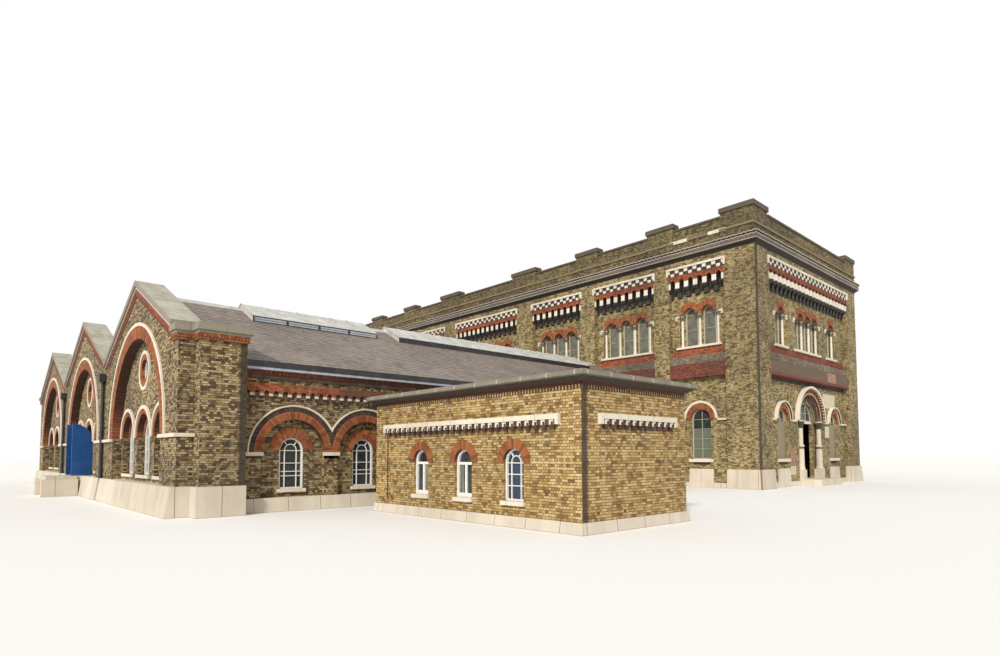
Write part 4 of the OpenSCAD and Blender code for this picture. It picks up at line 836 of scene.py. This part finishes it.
dark_red = band_material(
    "dark red facing brick",
    [
        (0.0, (0.07, 0.025, 0.018)), (0.4, (0.19, 0.05, 0.03)), (0.8, (0.30, 0.075, 0.04)),
        (1.0, (0.14, 0.05, 0.04)),
    ],
    (0.05, 0.025, 0.018), 0.5, grey_from=7570,
)
bright_red = band_material(
    "red facing brick",
    [(0.0, (0.20, 0.05, 0.02)), (0.5, (0.40, 0.095, 0.035)), (1.0, (0.52, 0.16, 0.06))],
    (0.10, 0.035, 0.02), 0.4,
)
table_red = band_material(
    "red brick of the corbel tables",
    [(0.0, (0.13, 0.032, 0.016)), (0.5, (0.31, 0.065, 0.028)), (1.0, (0.42, 0.11, 0.042))],
    (0.07, 0.022, 0.014), 0.5,
)
eaves_red = band_material(
    "red brick of the eaves",
    [(0.0, (0.20, 0.05, 0.02)), (0.5, (0.42, 0.11, 0.035)), (1.0, (0.54, 0.17, 0.06))],
    (0.10, 0.035, 0.02), 0.4, sooted_from=-500,
)
deep_red = red_material(
    "deep red brick", [(0.0, (0.10, 0.025, 0.015)), (0.5, (0.20, 0.04, 0.022)), (1.0, (0.27, 0.06, 0.03))],
    0.3,
)
dress(dark_red, "engine_storey_bands")
dress(table_red, "engine_corbel_arches")
dress(eaves_red, "boiler_corbel_arches")


def clipped(middle, reach, low, high):
    """From and to a reach on either side of a middle, within low and high."""
    return max(low, middle - reach), min(high, middle + reach)


corbel_tables = [(p, b[0], b[1]) for p in (engine_front, engine_back) for b in bays]
corbel_tables += [(p, -6500, 6500) for p in ends]
corbel_pitch, arch_z, head_z, course_z, frame_z = 580, 12800, 13250, 13390, 13610
arches, end_arches, blocks, shadows = Pile(31), Pile(30), Pile(32), Pile(33)
for wall, b0, b1 in corbel_tables:
    # Plates of painted shade: one at the back of each recess behind the corbels, and dark squares between
    # the white blocks of the two courses over the arches
    shadows.block(wall, b0 + 4, 12000, b1 - 4, 13060, bay_recess - 8, bay_recess + 2)
    n = round((b1 - b0) / corbel_pitch)
    step = (b1 - b0) / n
    for i in range(n):
        x = b0 + (i + 0.5) * step
        # The little arches of the end walls take a deeper red than those of the long walls: painted shade
        rings = end_arches if wall in ends else arches
        rings.ring(wall, x, arch_z, step * 0.26 - 4, step * 0.26 + 104, -9, 90, pitch=66)
        blocks.block(wall, x - 0.2 * step, head_z - 30, x + 0.2 * step, course_z, -20, 10)
        shadows.block(wall, x - 0.3 * step, course_z, x + 0.3 * step, frame_z, -12, 10)
    for i in range(n + 1):
        u0, u1 = clipped(b0 + i * step, 0.2 * step, b0, b1)
        blocks.block(wall, u0, course_z, u1, frame_z, -20, 10)
        u0, u1 = clipped(b0 + i * step, 0.3 * step, b0, b1)
        shadows.block(wall, u0, head_z - 30, u1, course_z, -12, 10)
# Near-black colour for the plates of painted shade
sooted = mottled_material("painted shade in the recesses", (0.02, 0.018, 0.017), (0.06, 0.05, 0.045), 0.95)
arches.mesh("corbel_table_voussoirs", rubbed_red, "red_brick")
end_arches.mesh("end_corbel_table_voussoirs", deep_red, "red_brick")
blocks.mesh("engine_dentils", white_stone, "white_stone")
shadows.mesh("engine_dentil_recesses", sooted, "stock_brick")

# Aprons reach a little past the outer lights of a bay, and across the whole end walls
aprons, end_aprons = Pile(34), Pile(37)
apron_z0, apron_z1 = 8052, 8568
for wall, lights in upper_groups:
    if wall not in ends:
        aprons.block(wall, lights[0] - 1190, apron_z0, lights[-1] + 1190, apron_z1, 375, 420)
for wall in ends:
    end_aprons.block(wall, -6490, apron_z0, 6490, apron_z1, 375, 420)
aprons.mesh("engine_aprons", bright_red, "red_brick")
end_aprons.mesh("end_wall_aprons", table_red, "red_brick")


# Brick under the raking copings and round the pier caps
# Four courses of red brick stepped out under each coping, a white fillet over them, and three
# courses round the caps of the corner piers, the middle one of dentils.
pile, upper, lower, fillets = Pile(35), Pile(38), Pile(36), Pile(39)
rake_slope, rake_foot, brick_length, brick_height = 0.461, 5196, 108, 74
for wall, apex_z in zip(gables, (8600, 8800, 8600)):
    for hand in (-1, 1):
        for row, (low, proud) in enumerate(((-326, 38), (-246, 38), (-164, 68), (-82, 68))):
            x = 10 + (60 if row % 2 else 0)
            while x < rake_foot - 6:
                x1 = min(x + brick_length, rake_foot)
                z0, z1 = (apex_z - h * rake_slope + low for h in (x, x1))
                outline = [(x, z0), (x1, z1), (x1, z1 + brick_height), (x, z0 + brick_height)]
                heap = upper if row > 1 else lower
                heap.prism(wall, outline if hand > 0 else mirrored(outline), -proud, 0)
                x += brick_length + 8
        corners = ((5, 8), (5190, 8), (5190, 40), (5, 40))
        outline = [(h, apex_z - h * rake_slope + up) for h, up in corners]
        fillets.prism(wall, outline if hand > 0 else mirrored(outline), -66, 0)

cap_plan = [(16600, -6160), (17200, -6160), (17200, -5630), (17760, -5630), (17760, -4030)]
cap_rows = ((5793, 12, 105), (5864, 38, 60), (5935, 24, 105))
for hand, aside in ((-1, west), (1, east)):
    for (x0, y0), (x1, y1) in zip(cap_plan, cap_plan[1:]):
        length = abs(x1 - x0) + abs(y1 - y0)
        face = (south if y0 == y1 else aside)(hand * x0, y0)
        for row, (z, proud, long) in enumerate(cap_rows):
            t = 0.0 if row % 2 else -50.0
            while t < length:
                t0, t1 = max(t, 0), min(t + long, length)
                t += 113
                if t1 - t0 >= 20:
                    pile.block(face, hand * t0, z, hand * t1, z + 64, -proud, 50)
rake_red = red_material(
    "red brick of the gables",
    [(0.0, (0.17, 0.04, 0.018)), (0.5, (0.32, 0.075, 0.032)), (1.0, (0.40, 0.11, 0.04))],
)
pile.mesh("pier_cap_bricks", rubbed_red, "red_brick")
upper.mesh("boiler_rake_bricks", rake_red, "red_brick")
lower.mesh("boiler_rake_bricks_below", deep_red, "red_brick")
fillets.mesh("boiler_rake_fillets", white_stone, "white_stone")


# Eaves of the side walls
# Little red arches on white stones with black feet, painted shade inside the arches, a band of
# painted shadow under a course of red dentils, and a pale blue-grey board under the gutter.
eaves_y0, eaves_y1, eaves_count = -4090, 22190, 76
eaves_step = 26290 / eaves_count
dentil_pitch, dentil_count = 150, 175
arches, feet, dentils, board = Pile(71), Pile(72), Pile(73), Pile(74)
for hand, wall in ((1, boiler_east), (-1, boiler_west)):
    u0, u1 = sorted((hand * eaves_y0, hand * eaves_y1))
    # Painted shade inside the little arches
    feet.block(wall, u0, 4216, u1, 4322, -5, 4)
    board.block(wall, u0, 5024, u1, 5112, -238, -56)
    for i in range(eaves_count):
        foot = u0 + i * eaves_step
        arches.ring(wall, u0 + (i + 0.5) * eaves_step, 4210, 101, 162, -119, -100, pitch=56, joint=9)
        # A band of painted shadow under the dentils, in lengths of one arch
        feet.block(wall, foot, 4722, u0 + (i + 1) * eaves_step - 6, 4874, -67, 5)
        if i:
            feet.block(wall, foot - 64, 4016, foot + 64, 4112, -95, 5)
    for i in range(dentil_count):
        u = u0 + i * dentil_pitch
        dentils.block(wall, u + 20, 4884, u + 112, 5018, -84, -56)
# One pale blue-grey colour for the board under the gutter and the glazed strips of the vents
pale_board = mottled_material("blue-grey board", (0.30, 0.34, 0.40), (0.42, 0.45, 0.49), 0.6)
arches.mesh("eaves_voussoirs", eaves_red, "red_brick")
dentils.mesh("eaves_dentils", deep_red, "red_brick")
feet.mesh("eaves_feet_and_painted_shade", soot_and_shade_brick, "stock_brick")
board.mesh("gutter_boards", pale_board, "cast_iron")
panes.mesh("vent_strips", pale_board, "lead")


# Painted shade and soot on the annex and the engine house
# Plates of painted shade: the notches and feet of the annex's stone bands, a band behind the dentils
# under its coping, a strip at the left edge of its front, the slots under the lower sills and the
# undersides of the hoods. Dark plates fill the heads of the upper lights on the end walls, and a
# band of soot and painted shade runs under the ledge of each end wall's frieze.
dark, dentils, ledges = Pile(81), Pile(82), Pile(87)
annex_back, annex_west = north(annex_x0 + annex_half, annex_depth), west(annex_x0, annex_side)
for wall, half in (
    (annex_front, annex_half), (annex_east, annex_side), (annex_back, annex_half), (annex_west, annex_side),
):
    # A band of painted shade behind the dentils and under the coping
    dark.block(wall, -half + 3, 3650, half - 3, 3846, -4, 4)
    count = round(2 * half / 112)
    for i in range(count):
        u = -half + (i + 0.5) * 2 * half / count
        dentils.block(wall, u - 22, 3660, u + 22, 3760, -12, 0)
    ledges.block(wall, -half - 16, 3780, half + 16, 3844, -16, 0)
# A strip of painted shadow at the left edge of the annex's front
dark.block(annex_front, -4092, 480, -4048, 2780, -5, 4)
# Painted shade in the notches and feet of the stone bands, and a tail of painted shadow beside each
for wall, x0, x1, n in ((annex_front, -4060, 4000, 27), (annex_east, -1665, 1705, 11)):
    step = (x1 - x0) / n
    for i in range(n + 1):
        x = x0 + i * step
        u0, u1 = clipped(x, 0.25 * step, x0, x1)
        dark.block(wall, u0, 2782, u1, 2918, -76, 4)
        if i < n:
            dark.block(wall, x + 0.27 * step, 2672, x + 0.73 * step, 2782, -80, 4)
            dark.block(wall, x + 0.5 * step, 2782, x + 0.74 * step, 2860, -97, -88)
# Painted shade on the undersides of the hoods
dark.band(engine_east, 0, lower_spring, 2112, 2148, 158, 325)
for wall, x in end_windows:
    dark.band(wall, x, lower_spring, 1018, 1038, 196, 325, count=24)
# Dark plates fill the heads of the upper lights of the end walls
for wall in ends:
    for x in sum(end_lights, []):
        turns = [radians(a) for a in range(0, 181, 15)]
        dark.prism(wall, [(x + 414 * cos(a), upper_spring + 414 * sin(a)) for a in turns], 440, 450)
# Painted shade in the slots under the lower sills
for wall, x in lower_windows:
    dark.block(wall, x - 560, 1370, x + 560, 1562, bay_recess - 8, bay_recess + 2)
# A band of soot and painted shade under the ledge of the frieze
for wall in ends:
    for i in range(26):
        dark.block(wall, -6480 + i * 500, 6440, -5990 + i * 500, 6696, bay_recess - 8, bay_recess + 2)
dark.mesh("shade_and_soot_plates", soot_and_shade_brick, "stock_brick")
dentils.mesh("annex_dentils", annex_brick, "stock_brick")
ledges.mesh("annex_ledges", deep_red, "red_brick")


# Frieze and patches of the engine house's ends
# A frieze rendered in brown over a ledge painted dull red runs across each end wall. The seen
# end has patches of newer pinkish and cream brick round its entrance and over it.
def patch_material(name, light, dark):
    made, tree, shader, air = weathered(name)
    laid = use(tree, courses, {"Relief": 0.3})
    colour = mix(laid["Tone"], light, dark)
    colour = tint(colour, laid["Joint"], 0.5, [c * 0.5 for c in dark])
    colour = tint(colour, air["Mottle"], 0.35, [c * 0.7 for c in dark])
    finish(shader, colour, 0.9, laid["Normal"])
    return made


render = patch_material("brown render", (0.165, 0.115, 0.072), (0.13, 0.09, 0.058))
dull_red = patch_material("dull red paint", (0.24, 0.05, 0.038), (0.17, 0.035, 0.028))
pink = patch_material("pinkish brick", (0.44, 0.25, 0.18), (0.30, 0.17, 0.12))
cream = patch_material("cream brick", (0.72, 0.66, 0.50), (0.58, 0.50, 0.36))
frieze, ledge, pinks, creams = Pile(83), Pile(84), Pile(85), Pile(86)
for wall in ends:
    frieze.block(wall, -6490, 6850, 6490, 7560, 48, 62)
    ledge.block(wall, -6490, 6704, 6490, 6846, 14, 62)
pinks.block(engine_east, 2500, 6900, 4000, 7550, 42, 50)
for heap, u0, z0, u1, z1 in (
    (pinks, -3150, 1250, -2400, 2350), (pinks, 3150, 1150, 3500, 1900),
    (creams, -3150, 700, -2350, 1240), (creams, 2450, 5150, 4650, 6130), (creams, 2700, 3100, 3450, 3900),
):
    heap.block(engine_east, u0, z0, u1, z1, bay_recess - 4, bay_recess + 4)
frieze.mesh("end_wall_frieze", render, "stock_brick")
ledge.mesh("end_wall_ledge", dull_red, "red_brick")
pinks.mesh("end_wall_pink_patches", pink, "stock_brick")
creams.mesh("end_wall_cream_patches", cream, "stock_brick")


# Windows
# Painted timber sashes and casements: white in the boiler house and annex, stone-coloured in the
# engine house, with puttied panes of old glass. The engine house's lower end windows are boarded.
glass, tree, shader, air = weathered("old window glass")
colour = mix(air["Mottle"], (0.016, 0.02, 0.02), (0.045, 0.055, 0.052))
high, x_place = real(tree, 2), real(tree, 0)
# The panes of the upper lights turn paler grey: a painted reflection
upstairs = over(high, 8000)
painted_reflection = mix(air["Mottle"], (0.10, 0.10, 0.075), (0.18, 0.175, 0.13))
colour = tint(colour, upstairs, 0.9, painted_reflection)
# Below their heads the engine house's lower panes turn pale green: painted sunlight, where the arches'
# shadow doesn't reach
in_engine_house = over(real(tree, 1), engine_y0 + 100)
painted_sunlit_panes = times(between(high, 1700, 3560), in_engine_house)
colour = tint(colour, painted_sunlit_panes, 0.8, (0.17, 0.20, 0.15))
last_window = annex_x0 + annex_half + annex_windows[2]
bluish = between(x_place, last_window - 190, last_window + 190)
colour = tint(colour, bluish, 0.6, (0.008, 0.03, 0.10))
in_annex = between(x_place, 21600, 24050)
curtains = times(in_annex, maths("LESS_THAN", high, annex_spring - 20))
colour = mix(times(curtains, air["Runs"]), colour, (0.30, 0.27, 0.20))
finish(shader, colour, 0.14, relief(air["Mottle"], 0.15, 0.01))
shader.inputs["Specular IOR Level"].default_value = 0.5
dress(glass, "*_glass")


def paint_material(name, fresh, worn):
    made, _, shader, air = weathered(name)
    finish(shader, mix(spread(air["Grain"], 0.4, 0.75), fresh, worn), 0.5)
    return made


white_paint = paint_material("white paint", (0.82, 0.82, 0.8), (0.62, 0.6, 0.56))
stone_paint = paint_material("stone-coloured paint", (0.50, 0.45, 0.34), (0.32, 0.28, 0.2))


def window(pile, wall, x, sill, spring, r, d, width=60, bars=(), rails=(), bar=26, inner=0, crown=True):
    """An arched frame in front of depth d, with level rails, an inner arch and upright bars, which
    stop at the springing where there is an inner arch or no crown."""
    d0, h = d - 70, bar / 2
    pile.block(wall, x - r, sill, x + r, sill + width, d0, d)
    for s in (-1, 1):
        pile.block(wall, x + s * r, sill + width, x + s * (r - width), spring, d0, d)
    pile.band(wall, x, spring, r - width, r, d0, d, count=20)
    for u in bars:
        top = spring if inner or not crown else spring + (r * r - u * u) ** 0.5 - width
        pile.block(wall, x + u - h, sill + width, x + u + h, top, d - 45, d)
    for z in rails:
        pile.block(wall, x - r + width, z - h, x + r - width, z + h, d - 42, d)
    if inner:
        pile.band(wall, x, spring, inner - h, inner + h, d - 45, d, count=16)
        for angle in (55, 125):
            pile.spoke(wall, x, spring, angle, inner, r - width, h, d - 45, d)


pile = Pile(41)
for wall, lights in upper_groups:
    for x in lights:
        window(pile, wall, x, 8700, upper_spring, 420, 719, rails=[9750, 10690])
for wall, x in lower_windows:
    window(pile, wall, x, 1720, lower_spring, 640, 579, bars=[0], rails=[2330, 2940, 3550, 4140])
window(pile, engine_east, 0, lower_spring, lower_spring + 1, 1195, 829, bars=[-400, 400], rails=[4700])
pile.mesh("engine_window_frames", stone_paint, "window_glass")

pile = Pile(42)
for g, wall in enumerate(gables):
    for x in gable_lights:
        if g != 1 or x:
            window(
                pile, wall, x, 1250, gable_spring, 750, 649, 70,
                bars=[-375, 375], rails=[1750, 2250, 2730], inner=375,
            )
    pile.band(wall, 0, oculus_z, 390, 450, 430, 499, 360, 40)
    for angle in (0, 45, 90, 135):
        pile.spoke(wall, 0, oculus_z, angle, -395, 395, 12, 455, 499)
for wall, y in arcade:
    window(
        pile, wall, y, 790, side_spring, 460, 319, 56,
        bars=[-225, 225], rails=[1257, 1420, 1723, 2180], inner=225,
    )
pile.mesh("boiler_window_frames", white_paint, "window_glass")

pile = Pile(43)
annex_sill = 710
for x in annex_windows[:2]:
    window(
        pile, annex_front, x, annex_sill, annex_spring, 400, 199, 70,
        bars=[0], bar=80, rails=[1740], crown=False,
    )
    pile.block(annex_front, x - 400, annex_sill, x + 400, 840, 120, 199)
window(
    pile, annex_front, annex_windows[2], annex_sill, annex_spring, 400, 199, 56,
    bars=[-190, 190], rails=[1130, 1450, 1770], inner=190,
)
pile.mesh("annex_window_frames", white_paint, "window_glass")

# Upright boards fill the lower windows of the end walls to just under the springing
boarding = paint_material("grey-brown boarding", (0.26, 0.20, 0.13), (0.17, 0.13, 0.08))
pile = Pile(44)
for wall, x in end_windows:
    for i in range(8):
        pile.block(wall, x - 636 + i * 159, 1722, x - 482 + i * 159, 4040, 500, 520)
pile.mesh("end_window_boards", boarding, "window_glass")


# Doors of the boiler house
# Two leaves of upright boards with beaded joints, ledged behind and painted strong blue, on
# strap hinges. Their heads are quarter rounds that close under the arch.
blue = mottled_material(
    "blue gloss paint", (0.003, 0.07, 0.27), (0.002, 0.045, 0.19), 0.38, runs=(0.35, (0.02, 0.09, 0.22))
)
dress(blue, "door_left", "door_right")

leaf_width, leaf_head_r, board_pitch = 910, 934, 131.5


def leaf_place(hand):
    """Places in the closed leaf, carried round its hinge to where it stands open."""
    hinge_y, hinge_d = gable_y + 350, 350
    return lambda u, d, z: at(hand * (leaf_width - (d - hinge_d)), hinge_y + (u - leaf_width), z)


def head(u):
    return gable_spring + (leaf_head_r**2 - min(u, leaf_head_r - 0.1) ** 2) ** 0.5


for hand, name in ((1, "right_leaf"), (-1, "left_leaf")):
    place, pile = leaf_place(hand), Pile(51)
    planks = []
    for i in range(7):
        u0, u1 = 12 + i * board_pitch, 12 + (i + 1) * board_pitch - 8
        edge = [u0 + (u1 - u0) * k / 4 for k in (4, 3, 2, 1, 0)]
        outline = [(u0, 1018), (u1, 1018)] + [(u, head(u)) for u in edge]
        planks += [(outline, 364, 372), (outline, 436, 428)]
    for z in (1150, 1840, 2560):
        outline = [(30, z), (900, z), (900, z + 130), (30, z + 130)]
        planks += [(outline, 356, 366), (outline, 444, 434)]
    # A plank's faces look outwards, on both sides of both leaves
    for outline, d0, d1 in planks:
        pile.prism(place, outline if (hand > 0) == (d0 < d1) else outline[::-1], d0, d1)
    pile.mesh(f"{name}_boards", blue, "blue_boards", name)


# Main cornice of the engine house
# Dark brown moulded terracotta with a deep soffit in shadow, and three rows of pale zigzag laid
# on its fasciae.
brown, tree, shader, air = weathered("brown terracotta")
laid = use(tree, stones, {"Block Length": 0.3})
colour = mix(laid["Tone"], (0.17, 0.135, 0.105), (0.12, 0.095, 0.08))
colour = tint(colour, air["Patches"], 0.6, (0.07, 0.055, 0.05))
colour = mix(laid["Joint"], colour, (0.04, 0.035, 0.03))
# Faces that look down are painted darker: painted shade on the soffit
down = spread(facing(tree, 2), -0.5, -0.1, 0.9, 0.0)
colour = mix(down, colour, (0.02, 0.015, 0.013))
finish(shader, colour, 0.8, laid["Normal"])
dress(brown, "engine_cornice")
zigzag_stone = stone_material(
    "pale terracotta", (0.78, 0.71, 0.57), (0.66, 0.59, 0.46), (0.3, 0.25, 0.18), one_course, 0.3
)

# Each row of the zigzag: its height, rise, half wave, thickness, depth of its ground and how far
# it reaches past the corner of the lower fascia
zigzag_rows = ((14666, 66, 150, 22, -300, 55), (14520, 66, 150, 22, -240, 0), (14296, 30, 90, 16, -240, 0))
pile = Pile(61)
fascia = 240
for wall, half in (
    (engine_front, engine_half + fascia), (engine_back, engine_half + fascia),
    (engine_east, engine_middle - engine_y0 + fascia), (engine_west, engine_middle - engine_y0 + fascia),
):
    for z, rise, wave, thick, ground, past in zigzag_rows:
        reach = half + past
        count = round(2 * reach / wave)
        step = 2 * reach / count
        for i in range(count):
            x0, x1 = -reach + i * step, -reach + (i + 1) * step
            z0, z1 = (z, z + rise) if i % 2 else (z + rise, z)
            outline = [(x0, z0), (x1, z1), (x1, z1 + thick), (x0, z0 + thick)]
            pile.prism(wall, outline, ground - 12, ground + 10)
pile.mesh("cornice_zigzag", zigzag_stone, "white_stone")
